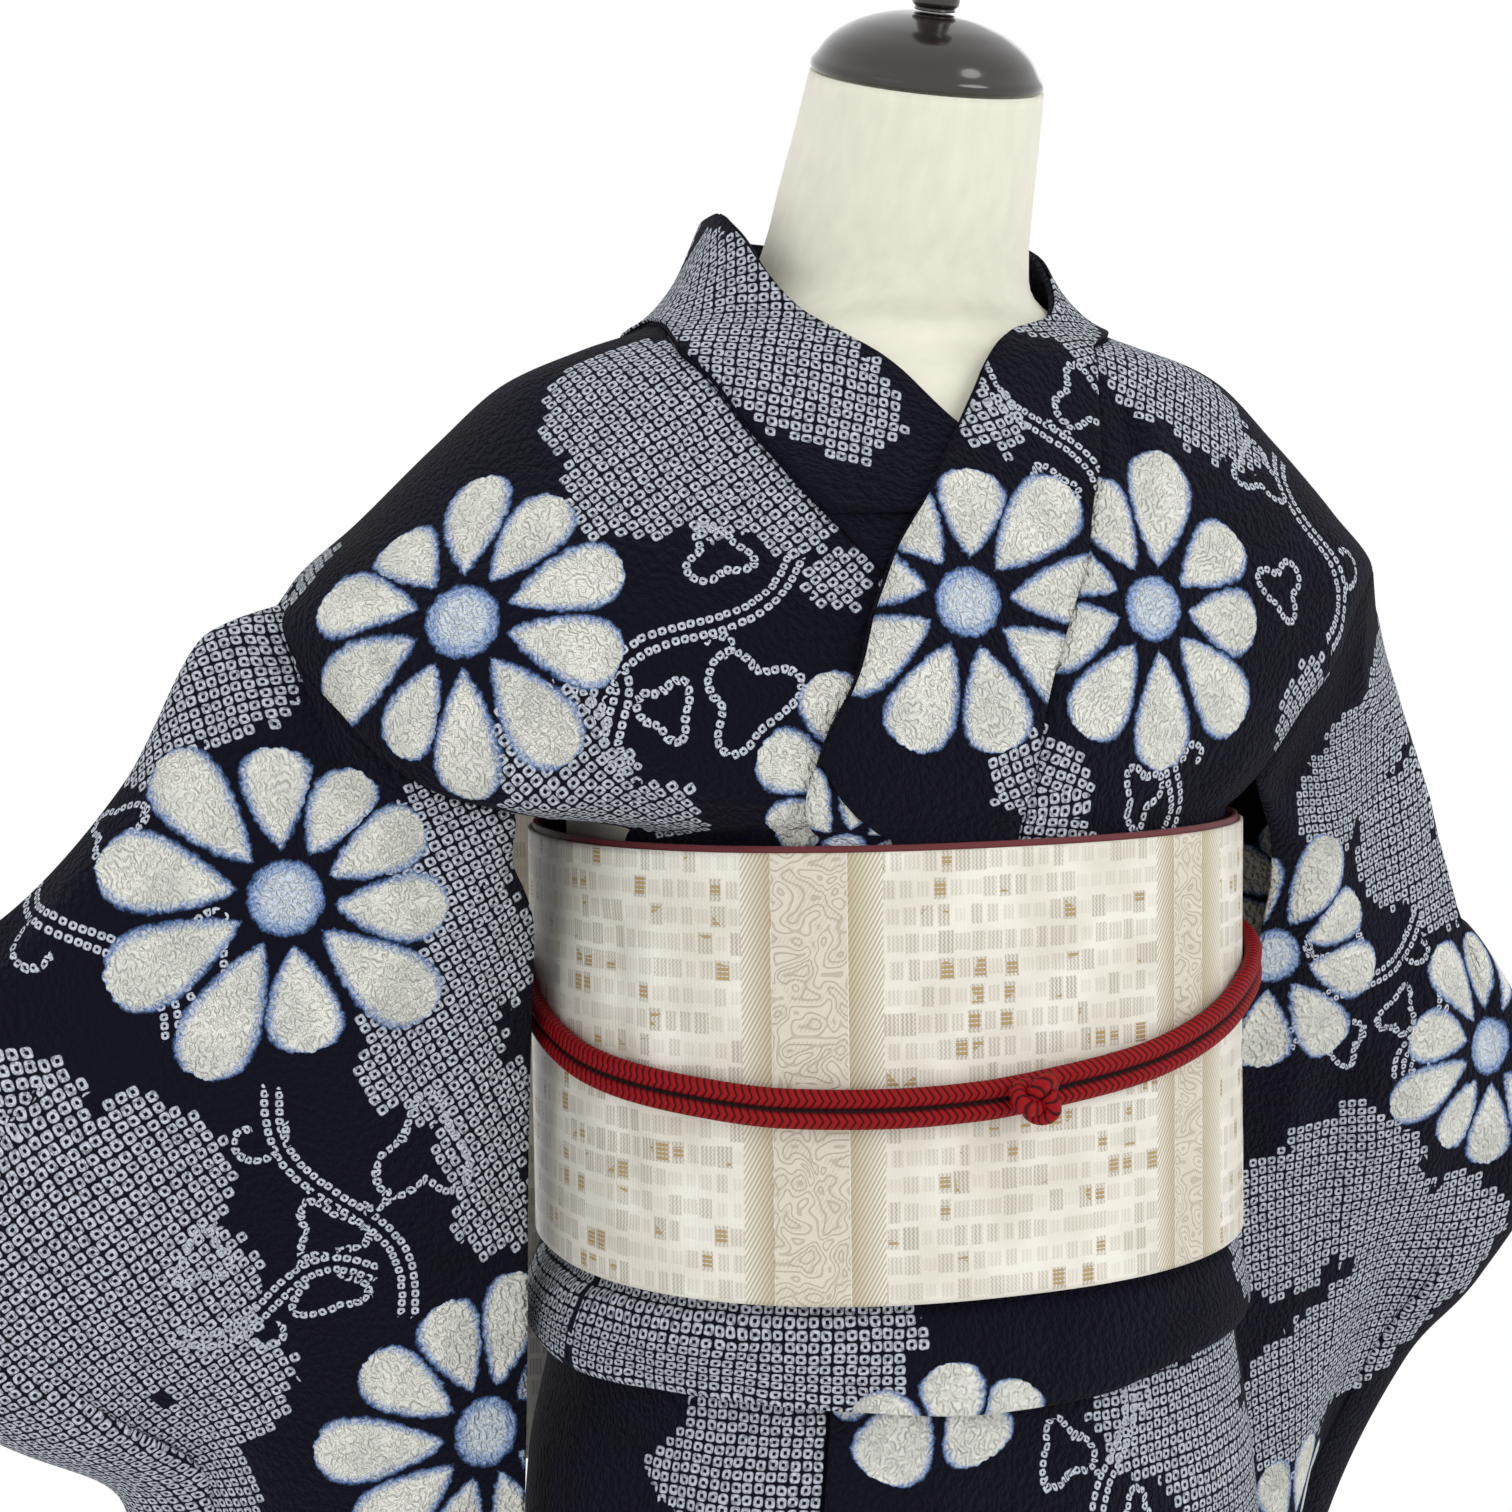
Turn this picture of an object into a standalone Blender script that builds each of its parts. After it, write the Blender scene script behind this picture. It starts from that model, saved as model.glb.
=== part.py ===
# Cotton yukata robe with sash and cord, worn on a limbless dress form with a stand.
#
# Metres, Z up, the wearer faces -Y and the wearer's left is +X. The origin is the centre of the
# underside of the base. The cloth follows one envelope of stacked rings, and each piece lies at
# its own distance from that envelope.
import bpy
import numpy as np

# Cloth
BODICE_END_RING = 7.15
CLOTH = 0.0012
BAND = 0.0020
SKIN = 0.0010
FIRST = 0.0004
RISE = 0.0044

# Heights
OBI_LOW = 0.9535
OBI_TOP = 1.110
OBI_DIP = 0.0045
TORSO_LOW = 0.740

# Sash
OBI_IN = 0.0074
OBI_WALL = 0.0015
OBI_OUT = 0.0093
CORD_R = 0.0034
CORD_SIDE = 0.0036

# Stand
BASE_R = 0.165
BASE_H = 0.018
POLE_R = 0.0150
JOINT = 0.0003

# Envelope rings: height, half width to the wearer's left, to the right, depth in front, behind
ENVELOPE = np.array([
    (0.040, 0.1380, 0.1420, 0.1140, 0.1180),
    (0.300, 0.1400, 0.1440, 0.1160, 0.1200),
    (0.600, 0.1410, 0.1460, 0.1180, 0.1220),
    (0.780, 0.1400, 0.1460, 0.1170, 0.1200),
    (0.860, 0.1360, 0.1430, 0.1140, 0.1160),
    (0.910, 0.1295, 0.1335, 0.1102, 0.1112),
    (0.955, 0.1255, 0.1295, 0.1085, 0.1085),
    (1.070, 0.1255, 0.1295, 0.1085, 0.1085),
    (1.102, 0.1257, 0.1297, 0.1086, 0.1085),
    (1.116, 0.1275, 0.1322, 0.1090, 0.1088),
    (1.124, 0.1380, 0.1700, 0.1102, 0.1092),
    (1.135, 0.1520, 0.2060, 0.1110, 0.1090),
    (1.158, 0.1730, 0.2290, 0.1110, 0.1085),
    (1.187, 0.1950, 0.2365, 0.1080, 0.1065),
    (1.204, 0.2010, 0.2280, 0.1045, 0.1045),
    (1.226, 0.1840, 0.2035, 0.0975, 0.1015),
    (1.254, 0.1590, 0.1740, 0.0835, 0.0965),
    (1.277, 0.1350, 0.1470, 0.0710, 0.0910),
    (1.289, 0.1040, 0.1190, 0.0630, 0.0860),
    (1.298, 0.0800, 0.0940, 0.0570, 0.0820),
    (1.3145, 0.0625, 0.0770, 0.0530, 0.0800),
    (1.341, 0.0515, 0.0634, 0.0470, 0.0790),
])
RING_POWER = 2.3

# Dress form rings: height, half width, front, back
TORSO = np.array([
    (0.740, 0.1200, 0.0950, 0.0980),
    (0.760, 0.1310, 0.1060, 0.1100),
    (0.800, 0.1345, 0.1100, 0.1140),
    (0.860, 0.1330, 0.1120, 0.1140),
    (0.910, 0.1282, 0.1092, 0.1102),
    (0.955, 0.1247, 0.1077, 0.1077),
    (1.070, 0.1247, 0.1077, 0.1077),
    (1.100, 0.1249, 0.1077, 0.1077),
    (1.130, 0.1275, 0.1075, 0.1070),
    (1.158, 0.1410, 0.1060, 0.1050),
    (1.187, 0.1560, 0.1020, 0.1020),
    (1.204, 0.1640, 0.0985, 0.0990),
    (1.226, 0.1620, 0.0930, 0.0930),
    (1.254, 0.1540, 0.0800, 0.0860),
    (1.277, 0.1310, 0.0680, 0.0760),
    (1.289, 0.1005, 0.0600, 0.0640),
    (1.298, 0.0770, 0.0540, 0.0530),
])

# Neck: centre height, centre depth, radius, tilt of the ring
NECK = (
    (1.312, -0.0060, 0.0570, 0.10),
    (1.328, -0.0140, 0.0500, 0.22),
    (1.346, -0.0225, 0.0476, 0.32),
    (1.368, -0.0345, 0.0450, 0.34),
    (1.3865, -0.0440, 0.0430, 0.34),
)
NECK_TOP = (1.3865, -0.0440)
NECK_LEAN = 0.34

# Seams on the envelope: angle from the centre front, ring index
ARMHOLE_RIGHT = ((-90, 14.1), (-85, 13.3), (-79, 12.6), (-71, 12.0), (-66, 11.4), (-64, 10.9),
                 (-62, 10.4), (-62, 9.6), (-66, 8.7), (-70, 7.9), (-72, 7.15))
ARMHOLE_LEFT = ((90, 14.1), (68, 14.0), (57, 13.6), (52, 12.7), (50, 12.0), (50, 11.4),
                (51, 10.6), (54, 9.7), (60, 8.7), (66, 7.9), (68, 7.15))
ARMHOLE_AT = (0.0, 0.10, 0.20, 0.32, 0.42, 0.52, 0.62, 0.70, 0.80, 0.92, 1.0)
SEAM_LEFT = ((90, 19.0), (60, 18.6), (38, 18.0), (25, 17.5), (16, 16.3), (13.2, 15.7),
             (9.2, 15.0), (6.4, 13.9), (4.6, 12.9), (2.8, 12.1), (1.8, 11.0), (0.6, 9.2), (0, 7.15))
INNER_LEFT = ((90, 20.7), (66, 20.3), (34, 19.2), (12, 18.3), (3, 17.2), (-1.5, 16.1),
              (-5, 15.3), (-8, 14.5), (-11, 12.6), (-14, 11.9), (-17, 11.2), (-25, 9.4), (-34, 7.15))
SEAM_RIGHT = ((90, 19.0), (72, 18.7), (54, 18.0), (44, 17.4), (34, 16.8), (26, 16.1),
              (19.5, 15.5), (12.5, 14.7), (7.5, 13.8), (4.5, 12.6), (2, 11.2), (0.6, 9.2), (0, 7.15))
INNER_RIGHT = ((90, 21.0), (66, 20.6), (36, 19.4), (20, 18.3), (10, 17.4), (3, 16.4),
               (-2, 15.6), (-6, 14.6), (-10, 12.9), (-13.5, 12.0), (-17, 11.2), (-25, 9.4),
               (-34, 7.15))
SEAM_AT = (0.0, 0.08, 0.18, 0.26, 0.34, 0.41, 0.48, 0.57, 0.65, 0.73, 0.82, 0.92, 1.0)

# Sleeves: rows from the top fold to the bottom, columns from the seam to the cuff
SLEEVE_S = (0.0, 0.25, 0.5, 0.74, 1.0)
CURL_R = 0.026
CURL_TURN = 115.0
SLEEVE_T = (0.0, 0.12, 0.26, 0.36, 0.52, 0.78, 1.0)
SEWN = 0.26
RIGHT_X = np.array([
    (0.230, 0.260, 0.290, 0.328),
    (0.215, 0.258, 0.306, 0.366),
    (0.178, 0.240, 0.302, 0.380),
    (0.152, 0.222, 0.282, 0.314),
    (0.1525, 0.206, 0.246, 0.260),
    (0.158, 0.196, 0.228, 0.246),
    (0.162, 0.196, 0.226, 0.244)])
RIGHT_Z = np.array([
    (1.198, 1.190, 1.138, 1.086, 1.060),
    (1.150, 1.132, 1.088, 1.030, 1.002),
    (1.122, 1.058, 1.018, 0.968, 0.940),
    (1.075, 1.005, 0.965, 0.915, 0.890),
    (0.965, 0.925, 0.900, 0.868, 0.850),
    (0.790, 0.772, 0.757, 0.740, 0.725),
    (0.640, 0.628, 0.618, 0.608, 0.598)])
RIGHT_Y = np.array([
    (0.000, 0.000, 0.002, 0.004),
    (0.000, -0.006, -0.008, 0.000),
    (0.000, -0.012, -0.014, 0.000),
    (0.000, -0.016, -0.012, 0.008),
    (0.004, -0.010, 0.000, 0.030),
    (0.000, -0.002, 0.012, 0.046),
    (0.000, 0.000, 0.016, 0.052)])
RIGHT_GAP = np.array([
    (0.014, 0.014, 0.012, 0.010, 0.010),
    (0.034, 0.020, 0.014, 0.011, 0.012),
    (0.054, 0.026, 0.015, 0.012, 0.013),
    (0.030, 0.020, 0.013, 0.010, 0.009),
    (0.018, 0.015, 0.011, 0.009, 0.006),
    (0.014, 0.012, 0.009, 0.007, 0.005),
    (0.012, 0.011, 0.009, 0.007, 0.005)])
LEFT_X = np.array([
    (0.208, 0.224, 0.236, 0.254),
    (0.156, 0.220, 0.252, 0.282),
    (0.130, 0.212, 0.256, 0.300),
    (0.152, 0.206, 0.248, 0.270),
    (0.150, 0.196, 0.228, 0.246),
    (0.162, 0.188, 0.208, 0.220),
    (0.166, 0.186, 0.204, 0.216)])
LEFT_Z = np.array([
    (1.198, 1.166, 1.120, 1.062, 1.038),
    (1.150, 1.120, 1.074, 1.012, 0.984),
    (1.130, 1.055, 1.012, 0.950, 0.922),
    (1.075, 1.000, 0.955, 0.900, 0.875),
    (0.965, 0.925, 0.895, 0.855, 0.835),
    (0.790, 0.772, 0.755, 0.735, 0.720),
    (0.640, 0.628, 0.618, 0.606, 0.596)])
LEFT_Y = np.array([
    (0.000, 0.006, 0.010, 0.012),
    (0.000, 0.006, 0.014, 0.018),
    (0.000, 0.010, 0.018, 0.024),
    (0.012, 0.018, 0.026, 0.034),
    (0.022, 0.030, 0.042, 0.056),
    (0.026, 0.042, 0.062, 0.086),
    (0.026, 0.044, 0.070, 0.100)])
LEFT_GAP = np.array([
    (0.066, 0.030, 0.018, 0.011, 0.010),
    (0.060, 0.024, 0.013, 0.008, 0.010),
    (0.060, 0.026, 0.014, 0.009, 0.012),
    (0.042, 0.022, 0.013, 0.009, 0.009),
    (0.020, 0.015, 0.011, 0.009, 0.006),
    (0.014, 0.012, 0.009, 0.007, 0.005),
    (0.012, 0.011, 0.009, 0.007, 0.005)])

# Lower edge of the tuck: angle, height
TUCK_EDGE = np.array([(-180, 0.926), (-110, 0.924), (-74, 0.9166), (-50, 0.9178), (-23, 0.9145),
                      (-3, 0.9104), (10, 0.9112), (26, 0.9165), (50, 0.9190), (110, 0.924),
                      (180, 0.926)])
# Tuck rows from the inside of the sash down, round the edge and up inside: height above the
# lower edge or fixed height, distance from the envelope, share of the puff at the right side
TUCK_ROWS = ((None, 0.972, 0.0041, 0.0), (None, 0.952, 0.0044, 0.0), (None, 0.946, 0.0076, 0.6),
             (None, 0.935, 0.0100, 1.0), (0.0050, None, 0.0106, 1.0), (0.0010, None, 0.0096, 0.9),
             (0.0, None, 0.0082, 0.8), (0.0012, None, 0.0068, 0.6), (0.0150, None, 0.0057, 0.0))
TUCK_PUFF = 0.0050
TUCK_PUFF_AT = -84.0
TUCK_PUFF_WIDE = 26.0

# Cord path round the sash: angle, height
CORD_PATH = np.array([(-180, 1.066), (-140, 1.066), (-112, 1.064), (-100, 1.056), (-92, 1.0465),
                      (-83, 1.0385), (-70, 1.031), (-48, 1.025), (-32, 1.022), (-17, 1.0215),
                      (-5, 1.0225), (4, 1.0255), (19, 1.0305), (37, 1.040), (50, 1.049),
                      (70, 1.058), (100, 1.064), (180, 1.066)])
KNOT_ANGLE = 0.0

for old in list(bpy.data.objects):
    bpy.data.objects.remove(old, do_unlink=True)


def make_collection(name):
    group = bpy.data.collections.new(name)
    bpy.context.scene.collection.children.link(group)
    return group


ROBE = make_collection("yukata_robe")


def material(name, color, rough, metal=0.0, coat=0.0):
    mat = bpy.data.materials.new(name)
    mat.use_nodes = True
    shader = mat.node_tree.nodes["Principled BSDF"]
    shader.inputs["Base Color"].default_value = (*color, 1.0)
    shader.inputs["Roughness"].default_value = rough
    shader.inputs["Metallic"].default_value = metal
    shader.inputs["Coat Weight"].default_value = coat
    return mat


# Smooth curve through a table that never overshoots it
def curve(keys, values, at):
    keys = np.asarray(keys, float)
    values = np.asarray(values, float)
    at = np.asarray(at, float)
    step = np.diff(keys)
    slope = np.diff(values) / step
    tangent = np.zeros_like(values)
    tangent[0] = slope[0]
    tangent[-1] = slope[-1]
    turn = slope[:-1] * slope[1:] > 0
    w1 = 2 * step[1:] + step[:-1]
    w2 = step[1:] + 2 * step[:-1]
    before = np.where(turn, slope[:-1], 1.0)
    after = np.where(turn, slope[1:], 1.0)
    tangent[1:-1] = np.where(turn, (w1 + w2) / (w1 / before + w2 / after), 0.0)
    i = np.clip(np.searchsorted(keys, at) - 1, 0, len(step) - 1)
    t = np.clip((at - keys[i]) / step[i], 0.0, 1.0)
    first = (1 + 2 * t) * (1 - t) ** 2 * values[i] + t * (1 - t) ** 2 * step[i] * tangent[i]
    second = t * t * (3 - 2 * t) * values[i + 1] + t * t * (t - 1) * step[i] * tangent[i + 1]
    return first + second


RING_INDEX = np.arange(len(ENVELOPE))


# Point on the envelope, angle in degrees from the centre front, ring as a table index
def envelope(angle, ring):
    turn = np.radians(angle)
    height = curve(RING_INDEX, ENVELOPE[:, 0], ring)
    left = curve(RING_INDEX, ENVELOPE[:, 1], ring)
    right = curve(RING_INDEX, ENVELOPE[:, 2], ring)
    front = curve(RING_INDEX, ENVELOPE[:, 3], ring)
    back = curve(RING_INDEX, ENVELOPE[:, 4], ring)
    sine = np.sin(turn)
    cosine = np.cos(turn)
    power = 2.0 / RING_POWER
    x = np.where(sine > 0, left, right) * np.sign(sine) * np.abs(sine) ** power
    y = -np.where(cosine > 0, front, back) * np.sign(cosine) * np.abs(cosine) ** power
    return np.stack([x, y, height], -1)


def envelope_normal(angle, ring):
    top = len(ENVELOPE) - 1.0
    across = envelope(angle + 0.5, ring) - envelope(angle - 0.5, ring)
    up = envelope(angle, np.minimum(ring + 0.03, top)) - envelope(angle, np.maximum(ring - 0.03, 0.0))
    normal = np.cross(across, up)
    return normal / np.linalg.norm(normal, axis=-1, keepdims=True)


def on_body(angle, ring, off):
    angle, ring, off = np.broadcast_arrays(angle, ring, off)
    return envelope(angle, ring) + off[..., None] * envelope_normal(angle, ring)


def ring_at(height):
    return np.interp(height, ENVELOPE[:, 0], RING_INDEX)


def mesh_object(name, points, faces, mat):
    mesh = bpy.data.meshes.new(name)
    mesh.from_pydata([tuple(p) for p in points], [], faces)
    mesh.validate()
    mesh.update()
    obj = bpy.data.objects.new(name, mesh)
    ROBE.objects.link(obj)
    obj.data.materials.append(mat)
    for polygon in mesh.polygons:
        polygon.use_smooth = True
    return obj


def grid_faces(rows, cols, wrap_rows=False, wrap_cols=False, flip=False):
    faces = []
    for r in range(rows if wrap_rows else rows - 1):
        for c in range(cols if wrap_cols else cols - 1):
            a = r * cols + c
            b = r * cols + (c + 1) % cols
            d = ((r + 1) % rows) * cols + c
            e = ((r + 1) % rows) * cols + (c + 1) % cols
            faces.append((a, d, e, b) if flip else (a, b, e, d))
    return faces


# Cloth from an open grid of points, thickened to the outside
def sheet(name, grid, mat, wall=CLOTH, flip=False, wrap_rows=False, wrap_cols=False, more=()):
    rows, cols = grid.shape[:2]
    faces = grid_faces(rows, cols, wrap_rows, wrap_cols, flip)
    for face in more:
        faces.append(face[::-1] if flip else face)
    obj = mesh_object(name, grid.reshape(-1, 3), faces, mat)
    solid = obj.modifiers.new("wall", "SOLIDIFY")
    solid.thickness = wall
    solid.offset = 1.0
    solid.use_rim = True
    return obj


# Turned piece from radius and height pairs, closed at both ends on the axis
def lathe(name, profile, mat, segments=32, lean=0.0, centre=(0.0, 0.0, 0.0)):
    angles = np.linspace(0.0, 2 * np.pi, segments, endpoint=False)
    points = []
    for radius, height in profile[1:-1]:
        for turn in angles:
            points.append((radius * np.cos(turn), radius * np.sin(turn), height))
    count = len(profile) - 2
    faces = grid_faces(count, segments, wrap_cols=True)
    low = len(points)
    points.append((0.0, 0.0, profile[0][1]))
    points.append((0.0, 0.0, profile[-1][1]))
    last = (count - 1) * segments
    for k in range(segments):
        after = (k + 1) % segments
        faces.append((low, after, k))
        faces.append((low + 1, last + k, last + after))
    points = np.array(points)
    tilt = np.arctan(lean)
    y = points[:, 1] * np.cos(tilt) - points[:, 2] * np.sin(tilt)
    z = points[:, 1] * np.sin(tilt) + points[:, 2] * np.cos(tilt)
    points = np.stack([points[:, 0], y, z], -1) + np.array(centre)
    return mesh_object(name, points, faces, mat)


COTTON = material("printed_cotton", (0.012, 0.014, 0.040), 0.85)
FORM_CLOTH = material("cream_cotton", (0.80, 0.77, 0.64), 0.80)
GLOSS = material("black_gloss", (0.010, 0.008, 0.007), 0.18, coat=0.5)
SASH = material("ivory_brocade", (0.72, 0.68, 0.57), 0.50)
LINING = material("red_lining", (0.16, 0.012, 0.014), 0.60)
CORD = material("red_braid", (0.24, 0.008, 0.010), 0.55)


# Closed solid from a stack of equal rings, lowest first, with flat ends
def rings_to_solid(name, rings, mat):
    count, segments = len(rings), len(rings[0])
    points = np.concatenate(rings)
    faces = grid_faces(count, segments, wrap_cols=True)
    faces.append(tuple(range(segments))[::-1])
    faces.append(tuple(range((count - 1) * segments, count * segments)))
    return mesh_object(name, points, faces, mat)


def torso_rings(segments=32):
    turn = np.radians(np.linspace(-180.0, 180.0, segments, endpoint=False))
    sine = np.sin(turn)
    cosine = np.cos(turn)
    power = 2.0 / RING_POWER
    rings = []
    for height, half, front, back in TORSO:
        x = half * np.sign(sine) * np.abs(sine) ** power
        y = -np.where(cosine > 0, front, back) * np.sign(cosine) * np.abs(cosine) ** power
        rings.append(np.stack([x, y, np.full_like(x, height)], -1))
    for height, depth, radius, tilt in NECK:
        x = radius * sine
        y = depth - radius * cosine
        rings.append(np.stack([x, y, height + tilt * (y - depth)], -1))
    return rings


rings_to_solid("form_torso", torso_rings(), FORM_CLOTH)

CAP = ((0.0, JOINT), (0.0405, JOINT), (0.0428, 0.0012), (0.0433, 0.0030), (0.0424, 0.0052),
       (0.0385, 0.0110), (0.0315, 0.0170), (0.0215, 0.0216), (0.0120, 0.0238), (0.0, 0.0245))
lathe("form_cap", CAP, GLOSS, 28, NECK_LEAN, (0.0, NECK_TOP[1], NECK_TOP[0]))
FINIAL = ((0.0, 0.0250), (0.0072, 0.0250), (0.0074, 0.0262), (0.0086, 0.0275), (0.0088, 0.0300),
          (0.0078, 0.0315), (0.0080, 0.0420), (0.0086, 0.0520), (0.0110, 0.0600), (0.0145, 0.0670),
          (0.0158, 0.0740), (0.0150, 0.0800), (0.0115, 0.0850), (0.0060, 0.0885), (0.0, 0.0893))
lathe("form_finial", FINIAL, GLOSS, 16, NECK_LEAN, (0.0, NECK_TOP[1], NECK_TOP[0]))
lathe("form_pole", ((0.0, BASE_H + JOINT), (POLE_R * 1.9, BASE_H + JOINT), (POLE_R * 1.9, 0.030),
                    (POLE_R, 0.040), (POLE_R, TORSO_LOW - JOINT), (0.0, TORSO_LOW - JOINT)), GLOSS, 20)
lathe("form_base", ((0.0, 0.0), (BASE_R - 0.002, 0.0), (BASE_R, 0.003), (BASE_R, 0.009),
                    (BASE_R - 0.006, BASE_H - 0.003), (BASE_R - 0.014, BASE_H), (0.0, BASE_H)),
      GLOSS, 40)


# Angle and ring on the armhole edge, at runs from the shoulder top to the sash
def armhole(table, at):
    table = np.array(table, float)
    return curve(ARMHOLE_AT, table[:, 0], at), curve(ARMHOLE_AT, table[:, 1], at)


def neckline(table, at):
    table = np.array(table, float)
    return curve(SEAM_AT, table[:, 0], at), curve(SEAM_AT, table[:, 1], at)


# The left front lies over the right front and its doubled collar
def left_lift(angle, ring):
    side = np.clip((78.0 - angle) / 45.0, 0.0, 1.0)
    side = side * side * (3 - 2 * side)
    low = np.clip((18.6 - ring) / 1.6, 0.0, 1.0)
    low = low * low * (3 - 2 * low)
    return FIRST + (RISE - FIRST) * side * low


BODICE_COLS = 10
# Rows that the panels, the collar and the sleeves share, from the shoulder down the front
ALONG = np.array((0.0, 0.07, 0.14, 0.22, 0.30, 0.38, 0.46, 0.54, 0.62, 0.71, 0.80, 0.88, 0.94, 1.0))
ROUND_BACK = 4


# Seam behind the neck, part runs from the side of the neck to the centre back
def back_neck(part):
    return 90.0 + 90.0 * part, 18.2 + 0.8 * (1.0 - part) ** 2


# Front and back of one body panel in one length over the shoulder. Across, angle and ring run
# evenly from the collar seam to the armhole edge. Along, they run from the sash in front over the
# shoulder ridge to the sash behind
def bodice_grid(side):
    arm = ARMHOLE_LEFT if side > 0 else ARMHOLE_RIGHT
    fade = np.linspace(0.0, 1.0, BODICE_COLS)[None, :]
    out_angle, out_ring = armhole(arm, ALONG)
    in_angle, in_ring = neckline(SEAM_LEFT if side > 0 else SEAM_RIGHT, ALONG)
    front_angle = (in_angle[:, None] * side + 0.5 * side) * (1 - fade) + out_angle[:, None] * fade
    front_ring = in_ring[:, None] * (1 - fade) + out_ring[:, None] * fade
    around = np.linspace(0.0, 1.0, ROUND_BACK + 1)
    neck_angle, neck_ring = back_neck(around)
    down = (ALONG[ROUND_BACK:] - ALONG[ROUND_BACK]) / (1.0 - ALONG[ROUND_BACK])
    back_angle = np.concatenate([neck_angle[:-1], 180.0 + 0.0 * down]) - 0.4
    back_angle[0] = 90.0
    back_ring = np.concatenate([neck_ring[:-1], neck_ring[-1] + (BODICE_END_RING - neck_ring[-1]) * down])
    back_out = 180.0 * side - out_angle
    rear_angle = back_angle[:, None] * side * (1 - fade) + back_out[:, None] * fade
    rear_ring = back_ring[:, None] * (1 - fade) + out_ring[:, None] * fade
    angle = np.concatenate([front_angle[::-1], rear_angle[1:]])
    ring = np.concatenate([front_ring[::-1], rear_ring[1:]])
    off = left_lift(angle, ring) if side > 0 else np.full_like(angle, FIRST)
    return on_body(angle, ring, off)


for label, side in (("bodice_right", -1), ("bodice_left", 1)):
    sheet(label, bodice_grid(side), COTTON, flip=side < 0)


# Band round the neck from the right front end over the back neck to the left front end. The rows
# are those of the body panels, so the seam keeps its gap; first and last leave out rows at either
# end
def collar_grid(first, last, across, off_base):
    around = np.linspace(0.0, 1.0, ROUND_BACK + 1)[1:]
    back_seam = np.stack(back_neck(around), -1)
    back_edge = np.stack([90.0 + 90.0 * around, 21.0 + 0.0 * around], -1)
    halves = []
    for seam_table, edge_table in ((SEAM_RIGHT, INNER_RIGHT), (SEAM_LEFT, INNER_LEFT)):
        seam = np.concatenate([np.stack(neckline(seam_table, ALONG[::-1]), -1), back_seam])
        edge = np.concatenate([np.stack(neckline(edge_table, ALONG[::-1]), -1), back_edge])
        seam[:, 0] -= np.where(seam[:, 0] < 90.0, 0.5, 0.0)
        seam[:, 1] += np.where(seam[:, 1] > 17.0, 0.10, 0.0)
        halves.append((seam, edge))
    mirror = np.array([-1.0, 1.0])
    seam = np.concatenate([halves[0][0] * mirror, halves[1][0][-2::-1]])
    edge = np.concatenate([halves[0][1] * mirror, halves[1][1][-2::-1]])
    rows = len(seam)
    is_left = (np.arange(rows) > rows // 2)[:, None]
    angle = seam[:, :1] * (1 - across) + edge[:, :1] * across
    ring = seam[:, 1:] * (1 - across) + edge[:, 1:] * across
    middle = rows // 2
    angle[middle] = 180.0
    off = off_base + np.where(is_left, left_lift(np.abs(angle), ring) - FIRST, 0.0)
    # The two ends of the angle range meet behind the neck
    grid = on_body(angle, ring, off)
    return grid[first:rows - last]


BAND_COLS = np.array((0.0, 0.33, 0.67, 1.0))
SKIN_COLS = np.array((0.012, 0.33, 0.67, 0.988))
OVER = FIRST + BAND + 0.0006
sheet("collar", collar_grid(0, 0, BAND_COLS, FIRST), COTTON, BAND)
sheet("over_collar", collar_grid(7, 3, SKIN_COLS, OVER), COTTON, SKIN)


# Value at s and t from a table whose rows follow t and columns follow s
def net(table, s, t):
    keys = SLEEVE_S[:table.shape[1]]
    rows = np.array([curve(keys, row, np.minimum(s, keys[-1])) for row in table])
    out = np.empty((len(t), len(s)))
    for k in range(len(s)):
        out[:, k] = curve(SLEEVE_T, rows[:, k], t)
    return out


LOWER_ROWS = np.array((0.33, 0.42, 0.54, 0.68, 0.82, 0.93, 0.985, 1.0))
CLOSED_FROM = 0.50


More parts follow.
